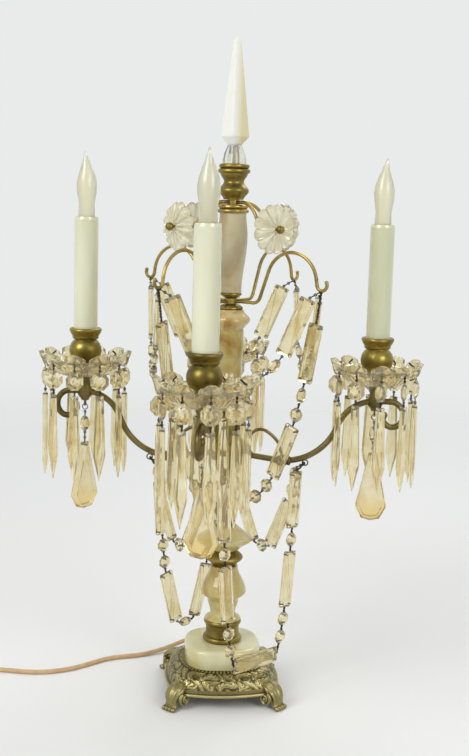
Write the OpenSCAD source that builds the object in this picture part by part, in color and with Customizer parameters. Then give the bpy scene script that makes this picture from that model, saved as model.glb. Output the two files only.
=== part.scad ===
// Electrified girandole: a brass and onyx column with four candle arms, glass fringes and swags.
// Millimetres, +Z up, origin on the table under the middle of the base.

/* [Base] */
// Width of the cast base between opposite sides
base_w = 126; // [118:1:134]
// Diameter over the rounded corners of the base
base_corner_d = 158; // [150:1:164]
// Radius of the bowed sides of the base and the onyx foot
bow_r = 150; // [120:5:240]
// Height of the rim of the base over the table
base_rim_z = 14; // [12:1:16]
// Height of the casting
base_h = 36; // [34:1:44]
// Radius of the rounded shoulder of the casting
base_shoulder = 19; // [12:1:20]
// Wall of the casting
base_wall = 4; // [3:0.5:5]
// Turn of the base on its pipe, from the line of the arms
base_turn = 13; // [8:1:18]
// Distance of the feet from the axis
foot_reach = 80; // [76:1:84]
// Diameter of a foot's pad
foot_pad_d = 20; // [16:1:24]
// Diameter of the scrolls beside each foot
foot_scroll_d = 13; // [10:1:14]

/* [Lower column] */
// Outer diameter of the lamp pipe
pipe_d = 10; // [9:0.5:11]
// Bore of the lamp pipe
pipe_bore = 7; // [5:0.5:7.5]
// Width of the onyx foot between opposite sides
onyx_foot_w = 82; // [70:1:90]
// Height of the onyx foot
onyx_foot_h = 21; // [16:1:26]
// Diameter of the foot ring
foot_ring_d = 43; // [36:1:50]
// Height of the foot ring
foot_ring_h = 25; // [18:1:30]
// Diameter of the baluster at its belly
baluster_d = 50; // [42:1:56]
// Diameter of the baluster at its waist
baluster_waist_d = 27; // [20:1:32]
// Height of the baluster
baluster_h = 60; // [50:1:70]
// Diameter of the ball knop
ball_d = 41; // [34:1:46]
// Height of the ball knop
ball_h = 19; // [14:1:24]
// Diameter of the saucer
saucer_d = 60; // [50:1:68]
// Height of the saucer
saucer_h = 26; // [20:1:32]
// Diameter of the bell knop
bell_d = 24; // [20:1:28]
// Height of the bell knop
bell_h = 34; // [28:1:40]
// Diameter of the arm hub
hub_d = 36; // [32:1:42]
// Height of the hub with its stem
hub_h = 79; // [72:1:90]
// Height of the arms' sockets above the foot of the hub
hub_arm_z = 45; // [42:1:56]

/* [Upper column] */
// Diameter of the threaded rod
rod_d = 6; // [5:0.5:7]
// Diameter of the onyx shaft
shaft_d = 29.5; // [24:0.5:34]
// Height of the onyx shaft
shaft_h = 101; // [85:1:120]
// Diameter of the onyx ring
onyx_ring_d = 42; // [36:1:48]
// Height of the onyx ring
onyx_ring_h = 22; // [16:1:28]
// Diameter of the lower collar
lower_collar_d = 26; // [23:1:32]
// Height of each rim of the lower collar
collar_rim_h = 6.5; // [5:0.5:9]
// Diameter of the vase at its shoulder
vase_d = 32; // [28:1:38]
// Diameter of the vase at its foot
vase_foot_d = 21.5; // [18:0.5:26]
// Height of the vase
vase_h = 83; // [70:1:96]
// Diameter of the top collar
top_collar_d = 33; // [28:1:38]
// Height of the top collar
top_collar_h = 9; // [7:1:12]
// Diameter of the crown cap
crown_d = 34; // [30:1:40]
// Diameter of the crown's neck
crown_neck_d = 21; // [16:1:24]
// Height of the crown cap
crown_h = 37; // [30:1:44]
// Diameter of the crystal finial foot
finial_foot_d = 26; // [22:1:30]
// Height of the crystal finial foot
finial_foot_h = 19; // [15:1:24]
// Width of the spear's square section at its widest
spear_w = 21; // [18:1:24]
// Height of the spear
spear_h = 110; // [90:1:130]

/* [Arms] */
// Distance of the candles from the axis
arm_reach = 158; // [150:1:172]
// Diameter of the arms
arm_d = 6.5; // [5.5:0.5:8]
// Downward slope of the arms at the hub, in degrees
arm_dip = 9; // [5:1:12]
// Steepest rise of the arms, in degrees
arm_rise = 70; // [60:1:76]
// Radius of the arms' lower bend
arm_lower_r = 60; // [52:1:64]
// Radius of the arms' upper bend
arm_upper_r = 42; // [36:1:46]
// Length of arm from the boss to the volute
volute_run = 16; // [15:1:20]
// Radius of the volute's first turn
volute_r = 15; // [13:1:17]
// Diameter of the inner scroll's wire
scroll_d = 3.6; // [3:0.2:4.4]
// Turn of the rear arm from the straight line, in degrees
rear_turn = 9; // [0:1:12]
// Turn of the right arm from the straight line, in degrees
right_turn = 9; // [0:1:9]
// Distance of the swag eyes from the axis
swag_eye_reach = 85; // [82:1:92]

/* [Candles] */
// Largest diameter of a candle cup
cup_d = 35; // [32:1:40]
// Height of a candle cup with its stem
cup_h = 43; // [40:1:52]
// Diameter of a candle sleeve
sleeve_d = 26; // [24:0.5:28]
// Wall of a candle sleeve
sleeve_wall = 1.8; // [1.4:0.1:2.2]
// Height of a sleeve above its cup
sleeve_show = 119; // [100:1:140]
// Depth of a sleeve in its cup
sleeve_seat = 12; // [8:1:16]
// Diameter of a lampholder
socket_d = 17; // [15:0.5:18]
// Diameter of a bulb's screw cap
bulb_cap_d = 11.6; // [10:0.2:12]
// Largest diameter of a bulb
bulb_d = 22; // [20:0.5:25]
// Height of a bulb above its sleeve
bulb_show = 69; // [60:1:80]

/* [Bobeches] */
// Radius of the ring of lobes
lobe_ring_r = 41; // [39:0.5:42]
// Number of lobes and of fringe strands
lobes = 10; // [8:2:12]
// Thickness of the glass
glass_t = 5; // [4:0.5:6]
// Diameter of the ribbed bowl
bowl_d = 64; // [58:1:68]
// Height of the bowl up to the lobes
bowl_h = 12; // [11:1:16]

/* [Glass drops] */
// Diameter of the octagon beads in the swags
bead_d = 14; // [11:0.5:16]
// Diameter of the octagon beads in the fringes
fringe_bead_d = 19; // [15:0.5:20]
// Thickness of the octagon beads
bead_t = 7; // [5:0.5:9]
// Length of the oval beads
oval_len = 17; // [14:0.5:20]
// Width of the oval beads
oval_w = 10.5; // [8:0.5:13]
// Length of the bar prisms
bar_len = 62; // [56:1:66]
// Width of the bar prisms
bar_w = 17; // [14:0.5:19]
// Thickness of the bar prisms
bar_t = 5.5; // [4:0.5:7]
// Length of the spear prisms in the fringes
prism_len = 92; // [80:1:96]
// Width of the spear prisms
prism_w = 14; // [11:0.5:15]
// Thickness of the spear prisms
prism_t = 6; // [4.5:0.5:7]
// Length of a pendalogue's drop
drop_len = 75; // [64:1:80]
// Width of a pendalogue's drop
drop_w = 33; // [26:1:36]
// Thickness of a pendalogue's drop
drop_t = 15; // [12:1:18]
// Diameter of the link wire
wire_d = 1.2; // [1:0.1:1.6]
// Length of a link between two pieces of glass
link_len = 6; // [5:0.5:8]

/* [Rosettes and hooks] */
// Diameter of a rosette
rosette_d = 51; // [46:1:52]
// Number of petals
petals = 12; // [10:1:14]
// Thickness of a rosette
rosette_t = 10; // [8:1:12]
// Distance of a rosette's back from the axis
rosette_reach = 66; // [63:1:67]
// Diameter of a rosette's ball nut
ball_nut_d = 8.5; // [7:0.5:10]
// Diameter of the hook wires and rosette wires
bracket_d = 3.6; // [3:0.2:4]
// Turn of the hook wires past the rosettes, in degrees
hook_turn = 15; // [14:1:18]
// Radius of the hook wires' top bend
hook_bend_r = 31; // [30:1:33]
// Radius of the hooks
hook_r = 6; // [5:0.5:7]

/* [Lead] */
// Diameter of the lead
cord_d = 5; // [5:0.1:5]
// Diameter of the bush in the base
bush_d = 7; // [6.5:0.5:8]
// Length of the plug's body
plug_len = 34; // [28:1:40]

/* [Hidden] */
$fn = 64;

// Radial clearance of rods and stems in their bores
fit = 0.25;
// Gap between a link and the glass it holds, and of a slanting wire
link_gap = 0.45;
slant_gap = 0.95;

// Colours as the photograph shows them
brass = "#7a6433";
old_brass = "#6b5a34";
cast_metal = "#77694a";
onyx = "#cfc58a";
crystal = "#e6dfc4";
amber_glass = "#ddcda0";
milk_glass = "#e4e8d4";
frosted_glass = "#e8dcc0";
lead_colour = "#c9a878";
plug_colour = "#1c1a18";

// Levels of the column, each piece on the one below
z_onyx_foot = base_h;
z_foot_ring = z_onyx_foot + onyx_foot_h;
z_baluster = z_foot_ring + foot_ring_h;
z_ball = z_baluster + baluster_h;
z_saucer = z_ball + ball_h;
z_bell = z_saucer + saucer_h;
z_hub = z_bell + bell_h;
z_shaft = z_hub + hub_h;
z_onyx_ring = z_shaft + shaft_h;
z_lower_rim = z_onyx_ring + onyx_ring_h;
spider_t = 5;
z_hook_spider = z_lower_rim + collar_rim_h;
z_upper_rim = z_hook_spider + spider_t;
z_vase = z_upper_rim + collar_rim_h;
z_top_collar = z_vase + vase_h;
z_rosette_spider = z_top_collar + top_collar_h;
z_crown = z_rosette_spider + spider_t;
z_finial_foot = z_crown + crown_h;
z_spear = z_finial_foot + finial_foot_h;
arm_z = z_hub + hub_arm_z;
pipe_hole = pipe_d + 2 * fit;
rod_hole = rod_d + 2 * fit;

// Nut and washer under the base
nut_flats = 17;
nut_h = 6;
washer_d = 24;
washer_t = 1.5;
pipe_tail = 3;
// Length of pipe and rod inside the hub, and of the rod inside the spear
pipe_in_hub = 40;
rod_in_hub = 14;
rod_in_spear = 8;

// Path of an arm: a straight, the lower bend, the upper bend, the volute
tenon_d = 5;
tenon_len = 7;
arm_collar_len = 4;
arm_collar_d = 11;
seat_gap = 0.1;
arm_start = hub_d / 2 + seat_gap + arm_collar_len;
rear_reach = arm_reach / cos(rear_turn);
arm_azimuths = [180, 270, right_turn, 90 + rear_turn];
arm_reaches = [arm_reach, arm_reach, arm_reach, rear_reach];
bends_span = arm_lower_r * (sin(arm_rise) + sin(arm_dip)) + arm_upper_r * sin(arm_rise);
function arm_straight(reach) = (reach - arm_start - bends_span) / cos(arm_dip);
function arm_top(reach) = arm_z - arm_straight(reach) * sin(arm_dip)
    + arm_lower_r * (cos(arm_dip) - cos(arm_rise)) + arm_upper_r * (1 - cos(arm_rise));
function arm_low_s(reach) = arm_start + arm_straight(reach) * cos(arm_dip) + arm_lower_r * sin(arm_dip);
function arm_low_z(reach) = arm_z - arm_straight(reach) * sin(arm_dip) - arm_lower_r * (1 - cos(arm_dip));
knot_len = 14;
knot_d = 13;

// Boss under each candle, and the eye that its pendalogue hangs in
boss_d = 16;
boss_below = 10;
boss_above = 21.5;
flange_d = 24;
nipple_d = 9.5;
nipple_len = 14;
eye_r = 3;
eye_wire = 1.5;
function boss_bottom(reach) = arm_top(reach) - boss_below;
function bobeche_z(reach) = arm_top(reach) + boss_above;
function cup_z(reach) = bobeche_z(reach) + glass_t;
function cup_rim_z(reach) = cup_z(reach) + cup_h;
function sleeve_top(reach) = cup_rim_z(reach) + sleeve_show;

// Lobes lean outwards over the bowl, and the strands hang below them
lobe_lean = 40;
lobe_share = 0.79;
lobe_d = 2 * lobe_share * lobe_ring_r * sin(180 / lobes);
lobe_z = bowl_h + 5.3;
strand_slack = 0.65;
strand_r = lobe_ring_r + glass_t / 2 * cos(lobe_lean);
strand_drop = lobe_z - glass_t / 2 * sin(lobe_lean) - strand_slack;

// Hook wires and the place of a hook in the plane of its wire
hook_rise = 70;
hook_fall = 80;
hook_out = 30;
hook_elbow_r = 9;
hook_stem = 30;
hook_drop = 6;
hook_tip = 115;
hook_wire_z = z_hook_spider + spider_t / 2;
hook_s = hook_out + hook_elbow_r * sin(hook_rise) + hook_stem * cos(hook_rise)
    + hook_bend_r * (sin(hook_rise) + sin(hook_fall)) + hook_drop * cos(hook_fall) + hook_r * sin(hook_fall);
hook_z = hook_wire_z + hook_elbow_r * (1 - cos(hook_rise)) + hook_stem * sin(hook_rise)
    + hook_bend_r * (cos(hook_fall) - cos(hook_rise)) - hook_drop * sin(hook_fall)
    - hook_r * (1 - cos(hook_fall));
hook_azimuths = [for (k = [0:3]) 45 + 90 * k + hook_turn];

// Rosette wires: out of the top collar and down to the rosette's back
rosette_out = 14;
rosette_sweep = 60;
rosette_fall_r = 30;
rosette_level_r = 22;
rosette_wire_z = z_rosette_spider + spider_t / 2;
rosette_z = rosette_wire_z - (rosette_fall_r + rosette_level_r) * (1 - cos(rosette_sweep));
rosette_wire_end = rosette_out + (rosette_fall_r + rosette_level_r) * sin(rosette_sweep);
stud_d = 3;

// Strands: where they start beside their hook, and what they are threaded with
swag_spread = 13;
swag_fall = 8;
strand_lead = 34;
upper_swag_half = ["bar", "oval", "bead"];
// Lower swags from the left arm round: half of each, from its eye to its middle piece
lower_swag_halves = [
    ["bead", "bar"],
    ["bar", "bead", "bar", "bead", "bead"],
    ["bead", "bead", "bar"],
    ["bead", "bar", "bead", "bead", "bar"]
];
lower_swag_middles = ["bead", "bar", "bead", "oval"];
long_strand_items = ["bar", "oval", "bead", "bar", "bead", "bead", "bead"];

// A regular outline eased from key to key: [radius, height] pairs, each a local widest or narrowest place
function eased(keys, steps = 6) = concat(
    [for (k = [0:len(keys) - 2], i = [0:steps - 1])
        let (t = i / steps, e = (1 - cos(180 * t)) / 2)
        [keys[k][0] + (keys[k + 1][0] - keys[k][0]) * e, keys[k][1] + (keys[k + 1][1] - keys[k][1]) * t]],
    [keys[len(keys) - 1]]);

// Half-round bead standing on radius r between z and z + h
function half_round(r, z, h, steps = 8) =
    [for (i = [0:steps]) [r - h / 2 + h / 2 * sin(180 * i / steps), z + h / 2 - h / 2 * cos(180 * i / steps)]];

// An outline without points that repeat the one before
function distinct(outline) =
    [for (i = [0:len(outline) - 1]) if (i == 0 || norm(outline[i] - outline[i - 1]) > 0.01) outline[i]];

// A turned piece with a bore through it, none for a bore of 0
module turned(outline, bore = 0) {
    last = len(outline) - 1;
    rotate_extrude()
        polygon(concat([[bore / 2, outline[0][1]]], distinct(outline), [[bore / 2, outline[last][1]]]));
}

// Round bar straight on along +X, then a brazed joint and its children at the far end
joint_gap = 0.1;
joint_over = 0.5;
module run(len, d) {
    translate([joint_gap, 0, 0]) rotate([0, 90, 0]) cylinder(h = len - 2 * joint_gap, d = d);
    translate([len, 0, 0]) {
        sphere(d = d + joint_over);
        children();
    }
}

// Round bar bent in the XZ plane, upwards for a positive angle, then a joint and its children at the far end
module bend(r, angle, d) {
    side = sign(angle);
    turn = abs(angle);
    short = atan(joint_gap / r);
    mirror([0, 0, side < 0 ? 1 : 0])
        translate([0, 0, r]) rotate([90, 0, 0]) rotate(short - 90)
            rotate_extrude(angle = turn - 2 * short) translate([r, 0]) circle(d = d, $fn = 32);
    translate([r * sin(turn), 0, side * r * (1 - cos(turn))]) rotate([0, -angle, 0]) {
        sphere(d = d + joint_over);
        children();
    }
}

// Wire ring round the Y axis
module wire_ring(r, d) {
    rotate([90, 0, 0]) rotate_extrude() translate([r, 0]) circle(d = d, $fn = 24);
}

// Bowed square with a rounded shoulder, cut at its corners by a round
function shoulder_outline(r, z0, z1, shoulder, steps = 8) = concat(
    [[0, z0], [r, z0]],
    [for (i = [0:steps])
        [r - shoulder * (1 - cos(90 * i / steps)), z1 - shoulder * (1 - sin(90 * i / steps))]],
    [[0, z1]]);
module bowed_block(w, corner_d, z0, z1, shoulder) {
    intersection() {
        rotate_extrude() polygon(shoulder_outline(corner_d / 2, z0, z1, shoulder));
        intersection_for (a = [0:90:270])
            rotate(a) translate([w / 2 - bow_r, 0, 0])
                rotate_extrude($fn = 128) polygon(shoulder_outline(bow_r, z0, z1, shoulder));
    }
}

// Base

// The lead leaves through a bush in a spot face of the rear wall
bush_flange_d = bush_d + 3;
bush_flange_t = 3;
bush_taper = 21;
bush_tail_d = cord_d + 1.5;
bush_z = base_rim_z + bush_flange_d / 2 + 1;
spot_face = 1.8;
module at_bush() {
    rotate(base_turn) translate([0, base_w / 2 - spot_face, bush_z]) rotate([-90, 0, 0]) children();
}

foot_pad_h = 9;
foot_toe_h = 4;
foot_toe_inset = 3;
leg_d = 16;
leg_inset = 8;
leg_h = base_rim_z + 9;
scroll_inset = 13;
scroll_w = 27;
module base_foot() {
    translate([foot_reach, 0, 0])
        turned([[foot_pad_d / 2, 0], [foot_pad_d / 2, foot_toe_h],
            [foot_pad_d / 2 - foot_toe_inset, foot_pad_h]]);
    translate([foot_reach - leg_inset, 0, 0]) cylinder(d = leg_d, h = leg_h);
    translate([foot_reach - scroll_inset, scroll_w / 2, base_rim_z - foot_scroll_d / 4])
        rotate([90, 0, 0]) cylinder(d = foot_scroll_d, h = scroll_w);
}

module base_casting() {
    color(cast_metal)
    difference() {
        rotate(base_turn) union() {
            difference() {
                bowed_block(base_w, base_corner_d, base_rim_z, base_h, base_shoulder);
                bowed_block(base_w - 2 * base_wall, base_corner_d - 2 * base_wall, base_rim_z - 1,
                    base_h - base_wall, base_shoulder - base_wall);
            }
            for (a = [45:90:315]) rotate(a) base_foot();
        }
        cylinder(d = pipe_hole, h = base_h + 1);
        at_bush() {
            cylinder(d = bush_flange_d + 2 * fit, h = 2 * base_wall);
            translate([0, 0, -2 * base_wall]) cylinder(d = bush_d + 2 * fit, h = 3 * base_wall);
        }
    }
}

module base_nut() {
    color(brass) translate([0, 0, base_h - base_wall]) {
        translate([0, 0, -washer_t]) difference() {
            cylinder(d = washer_d, h = washer_t);
            translate([0, 0, -1]) cylinder(d = pipe_hole, h = washer_t + 2);
        }
        translate([0, 0, -washer_t - nut_h]) difference() {
            cylinder(d = nut_flats / cos(30), h = nut_h - fit, $fn = 6);
            translate([0, 0, -1]) cylinder(d = pipe_hole, h = nut_h + 2);
        }
    }
}

module lamp_pipe() {
    z0 = base_h - base_wall - washer_t - nut_h - pipe_tail;
    color(brass) difference() {
        translate([0, 0, z0]) cylinder(d = pipe_d, h = z_hub + pipe_in_hub - z0);
        translate([0, 0, z0 - 1]) cylinder(d = pipe_bore, h = z_hub + pipe_in_hub - z0 + 2);
    }
}

// Lower column

onyx_foot_corner_d = onyx_foot_w + 9;
onyx_foot_shoulder = 9;
module onyx_foot() {
    color(onyx) difference() {
        rotate(base_turn) bowed_block(onyx_foot_w, onyx_foot_corner_d, z_onyx_foot, z_foot_ring, onyx_foot_shoulder);
        translate([0, 0, z_onyx_foot - 1]) cylinder(d = pipe_hole, h = onyx_foot_h + 2);
    }
}

foot_ring_waist = 7;
foot_ring_top = 2;
module foot_ring() {
    r = foot_ring_d / 2;
    lip = foot_ring_h / 4;
    color(brass) translate([0, 0, z_foot_ring])
        turned(concat(half_round(r, 0, lip),
            eased([[r - lip / 2, lip], [r - foot_ring_waist / 2, foot_ring_h / 2], [r - lip / 2, foot_ring_h - lip]]),
            half_round(r - foot_ring_top / 2, foot_ring_h - lip, lip)), pipe_hole);
}

// Shares of the baluster's height at its waist, crease and belly
baluster_waist_at = 0.1;
baluster_crease_at = 0.36;
baluster_belly_at = 0.52;
baluster_crease_d = 34;
baluster_foot_d = 40;
baluster_top_d = 30;
module onyx_baluster() {
    color(onyx) translate([0, 0, z_baluster])
        turned(eased([[baluster_foot_d / 2, 0], [baluster_waist_d / 2, baluster_waist_at * baluster_h],
            [baluster_crease_d / 2, baluster_crease_at * baluster_h],
            [baluster_d / 2, baluster_belly_at * baluster_h], [baluster_top_d / 2, baluster_h]]), pipe_hole);
}

ball_neck = 8;
module ball_knop() {
    r = ball_d / 2;
    color(brass) translate([0, 0, z_ball])
        turned(eased([[r - ball_neck, 0], [r, ball_h / 2], [r - ball_neck, ball_h]]), pipe_hole);
}

// Rim of the saucer above its foot, and the foot and neck inside its edge
saucer_rim_at = 0.45;
saucer_foot_in = 14;
saucer_neck_in = 17;
saucer_edge_h = 6;
module onyx_saucer() {
    r = saucer_d / 2;
    rim = saucer_rim_at * saucer_h;
    color(onyx) translate([0, 0, z_saucer])
        turned(concat([[r - saucer_foot_in, 0]], half_round(r, rim - saucer_edge_h / 2, saucer_edge_h),
            [[r - saucer_neck_in, saucer_h]]), pipe_hole);
}

spool_d = 20;
spool_h = 10;
bell_neck_d = 15;
bell_ring_h = 5;
module bell_knop() {
    top = bell_h - bell_ring_h;
    color(brass) translate([0, 0, z_bell])
        turned(concat(eased([[spool_d / 2, 0], [bell_neck_d / 2, spool_h / 2], [spool_d / 2, spool_h],
            [bell_d / 2, spool_h + bell_ring_h], [bell_neck_d / 2, top]]),
            half_round(spool_d / 2, top, bell_ring_h)), pipe_hole);
}

stem_d = 17;
drum_h = 30;
tenon_hole = tenon_d + 2 * fit;
module arm_hub() {
    foot = hub_arm_z - drum_h / 2;
    head = hub_arm_z + drum_h / 2;
    color(brass) translate([0, 0, z_hub]) difference() {
        turned(concat(eased([[stem_d / 2, 0], [stem_d / 2 - 1, foot / 2], [stem_d / 2, foot]]),
            [[hub_d / 2 - 2, foot], [hub_d / 2, foot + 2], [hub_d / 2, head - 2], [hub_d / 2 - 2, head]],
            [[shaft_d / 2, head], [shaft_d / 2, hub_h]]));
        translate([0, 0, -1]) cylinder(d = pipe_hole, h = pipe_in_hub + 1 + fit);
        translate([0, 0, hub_h - rod_in_hub - fit]) cylinder(d = rod_hole, h = rod_in_hub + 1 + fit);
        for (a = arm_azimuths)
            rotate(a) translate([hub_d / 2 - tenon_len, 0, hub_arm_z])
                rotate([0, 90, 0]) cylinder(d = tenon_hole, h = tenon_len + 1);
    }
}

// Upper column

module threaded_rod() {
    z0 = z_shaft - rod_in_hub;
    color(brass) translate([0, 0, z0]) cylinder(d = rod_d, h = z_spear + rod_in_spear - z0);
}

module onyx_shaft() {
    color(onyx) translate([0, 0, z_shaft])
        turned(eased([[shaft_d / 2, 0], [shaft_d / 2 - 1, shaft_h / 2], [shaft_d / 2, shaft_h]]), rod_hole);
}

onyx_ring_in = 7;
module onyx_ring() {
    r = onyx_ring_d / 2;
    color(onyx) translate([0, 0, z_onyx_ring])
        turned(eased([[r - onyx_ring_in, 0], [r, onyx_ring_h / 2], [r - onyx_ring_in, onyx_ring_h]], 10), rod_hole);
}

spider_d = 13;
upper_rim_in = 1.5;
module lower_collar() {
    r = lower_collar_d / 2;
    color(old_brass) {
        translate([0, 0, z_lower_rim])
            turned(concat(half_round(r, 0, collar_rim_h / 2),
                eased([[r - collar_rim_h / 4, collar_rim_h / 2], [spider_d / 2, collar_rim_h]])), rod_hole);
        translate([0, 0, z_upper_rim])
            turned(concat(eased([[spider_d / 2, 0], [r - upper_rim_in - collar_rim_h / 4, collar_rim_h / 2]]),
                half_round(r - upper_rim_in, collar_rim_h / 2, collar_rim_h / 2)), rod_hole);
    }
}

// Shares of the vase's height at its shoulder, and the vase's width under the collar
vase_shoulder_at = 0.7;
vase_top_d = 28;
module onyx_vase() {
    color(onyx) translate([0, 0, z_vase])
        turned(eased([[vase_foot_d / 2, 0], [vase_d / 2, vase_shoulder_at * vase_h], [vase_top_d / 2, vase_h]], 10),
            rod_hole);
}

module top_collar() {
    r = top_collar_d / 2;
    color(old_brass) translate([0, 0, z_top_collar])
        turned(concat(half_round(r, 0, top_collar_h / 2),
            half_round(r - 1, top_collar_h / 2, top_collar_h / 2)), rod_hole);
}

crown_rim_h = 5;
crown_flare_in = 1;
module crown_cap() {
    r = crown_d / 2;
    neck = crown_neck_d / 2;
    flare = crown_h / 4;
    color(old_brass) translate([0, 0, z_crown])
        turned(concat(eased([[neck, 0], [r - crown_flare_in, flare], [neck, crown_h / 2],
            [r - crown_rim_h / 2, crown_h - 2 * crown_rim_h]]),
            half_round(r, crown_h - 2 * crown_rim_h, crown_rim_h),
            half_round(r - 1, crown_h - crown_rim_h, crown_rim_h)), rod_hole);
}

spear_neck_d = 15;
module finial_foot() {
    color(crystal) translate([0, 0, z_finial_foot])
        turned(eased([[finial_foot_d / 2, 0], [finial_foot_d / 2 - 1, finial_foot_h / 4],
            [spear_neck_d / 2, finial_foot_h]]), rod_hole);
}

// The spear is widest a little above its neck, and ends in a small pyramid
spear_widest_at = 0.08;
spear_tip_at = 0.965;
spear_tip_w = 5.5;
module spear_profile() {
    half = spear_w / 2;
    rotate([90, 0, 0]) linear_extrude(2 * spear_w, center = true)
        polygon([[-spear_neck_d / 3, 0], [spear_neck_d / 3, 0], [half, spear_widest_at * spear_h],
            [spear_tip_w / 2, spear_tip_at * spear_h], [0, spear_h],
            [-spear_tip_w / 2, spear_tip_at * spear_h], [-half, spear_widest_at * spear_h]]);
}
module finial_spear() {
    color(crystal) translate([0, 0, z_spear]) difference() {
        rotate(45) intersection() {
            spear_profile();
            rotate(90) spear_profile();
        }
        translate([0, 0, -1]) cylinder(d = rod_hole, h = rod_in_spear + 1 + fit);
    }
}

// Arms

module at_arm(k) {
    rotate(arm_azimuths[k]) children();
}
module at_candle(k) {
    at_arm(k) translate([arm_reaches[k], 0, 0]) children();
}

module knot_ring() {
    r = knot_d / 2;
    bead = knot_len / 3;
    translate([-knot_len / 2, 0, 0]) rotate([0, 90, 0])
        turned(concat(half_round(r - 1, 0, bead), half_round(r, bead, bead),
            half_round(r - 1, 2 * bead, bead)));
}

module boss() {
    turned(concat(
        eased([[boss_d / 4, -boss_below], [boss_d / 2, -boss_below / 3], [nipple_d / 2 + 1, 0.6 * boss_above],
            [flange_d / 2, boss_above - 1]]),
        [[flange_d / 2, boss_above], [nipple_d / 2, boss_above], [nipple_d / 2, boss_above + nipple_len]]));
    translate([0, 0, -boss_below - eye_r]) rotate(90) wire_ring(eye_r, eye_wire);
}

volute_turn = 120;
volute_steps = [volute_r, 0.72 * volute_r, 0.5 * volute_r];
volute_tip_d = 8;
module volute(d) {
    bend(volute_steps[0], -volute_turn, d)
        bend(volute_steps[1], -volute_turn, d)
            bend(volute_steps[2], -volute_turn / 2, d)
                sphere(d = volute_tip_d, $fn = 32);
}

// The inner scroll leaves the knot upwards, leans to the hub and ends in a ball beside it
scroll_lean = 5;
scroll_sweep = 55;
scroll_tip_r = 12;
scroll_tip_sweep = 120;
scroll_ball_d = 1.6 * scroll_d;
scroll_tip_run = scroll_tip_r * (1 + cos(scroll_lean + scroll_sweep));
function scroll_r(reach) = (arm_low_s(reach) - hub_d / 2 - scroll_ball_d - scroll_tip_run)
    / (cos(scroll_lean) - cos(scroll_lean + scroll_sweep));
module inner_scroll(reach) {
    rotate([0, -90 - scroll_lean, 0])
        bend(scroll_r(reach), scroll_sweep, scroll_d)
            bend(scroll_tip_r, scroll_tip_sweep, scroll_d)
                sphere(d = scroll_ball_d, $fn = 32);
}

// Angle of the lower bend at the swag eye, from its lowest place
function eye_angle(reach) = asin((swag_eye_reach - arm_low_s(reach)) / arm_lower_r);
function eye_z(reach) = arm_low_z(reach) + arm_lower_r * (1 - cos(eye_angle(reach)))
    - arm_d / 2 / cos(eye_angle(reach)) - eye_r;

module arm(k) {
    reach = arm_reaches[k];
    color(old_brass) at_arm(k) {
        translate([hub_d / 2 - tenon_len + 1, 0, arm_z]) run(tenon_len + 1, tenon_d);
        translate([hub_d / 2 + seat_gap, 0, arm_z]) run(arm_collar_len + 1, arm_collar_d);
        translate([arm_start, 0, arm_z]) rotate([0, arm_dip, 0])
            run(arm_straight(reach), arm_d) bend(arm_lower_r, arm_dip, arm_d) {
                knot_ring();
                inner_scroll(reach);
                bend(arm_lower_r, arm_rise, arm_d) bend(arm_upper_r, -arm_rise, arm_d) {
                    boss();
                    run(volute_run, arm_d) volute(arm_d);
                }
            }
        translate([swag_eye_reach, 0, eye_z(reach)]) wire_ring(eye_r, eye_wire);
    }
}

// Candles

bowl_foot_d = 46;
bowl_lip_run = 7;
module bobeche(k) {
    hole = nipple_d + 2 * fit;
    r = bowl_d / 2;
    color(amber_glass) at_candle(k) translate([0, 0, bobeche_z(arm_reaches[k])]) {
        rotate_extrude()
            polygon([[hole / 2, 0], [bowl_foot_d / 2, 0], [r, bowl_h / 3], [r, bowl_h - 4],
                [r + bowl_lip_run, bowl_h], [r + bowl_lip_run - 2, bowl_h + glass_t / 2],
                [r - glass_t, bowl_h - 2], [r - glass_t, bowl_h / 3 + 2], [bowl_foot_d / 2 - 2, glass_t],
                [hole / 2, glass_t]]);
        for (i = [0:lobes - 1])
            rotate((i + 0.5) * 360 / lobes) translate([lobe_ring_r, 0, lobe_z])
                rotate([0, lobe_lean - 90, 0]) cylinder(d = lobe_d, h = glass_t, center = true, $fn = 32);
    }
}

cup_rim_h = 4;
cup_neck_d = 16;
cup_wall_gap = 0.3;
cup_belly_at = 0.55;
module candle_cup() {
    r = cup_d / 2;
    well = sleeve_d / 2 + cup_wall_gap;
    difference() {
        turned(concat(eased([[cup_neck_d / 2 + 1, 0], [cup_neck_d / 2, cup_h / 6],
            [r, cup_belly_at * cup_h], [r - 3, cup_h - 2 * cup_rim_h]]),
            half_round(r - 0.5, cup_h - 2 * cup_rim_h, cup_rim_h), half_round(r - 1, cup_h - cup_rim_h, cup_rim_h)));
        translate([0, 0, cup_h - sleeve_seat]) cylinder(r = well, h = sleeve_seat + 1);
        translate([0, 0, -1]) cylinder(d = nipple_d + 2 * fit, h = nipple_len - glass_t + 1 + 2 * fit);
    }
}
module candle_cups() {
    color(old_brass) for (k = [0:3]) at_candle(k) translate([0, 0, cup_z(arm_reaches[k])]) candle_cup();
}

sleeve_shoulder = 1.5;
module candle_sleeves() {
    color(milk_glass) for (k = [0:3]) at_candle(k)
        translate([0, 0, cup_rim_z(arm_reaches[k]) - sleeve_seat]) difference() {
            h = sleeve_seat + sleeve_show;
            turned([[sleeve_d / 2, 0], [sleeve_d / 2, h - 2 * sleeve_shoulder],
                [sleeve_d / 2 - sleeve_shoulder / 2, h]]);
            translate([0, 0, -1]) cylinder(d = sleeve_d - 2 * sleeve_wall, h = h + 2);
        }
}

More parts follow.
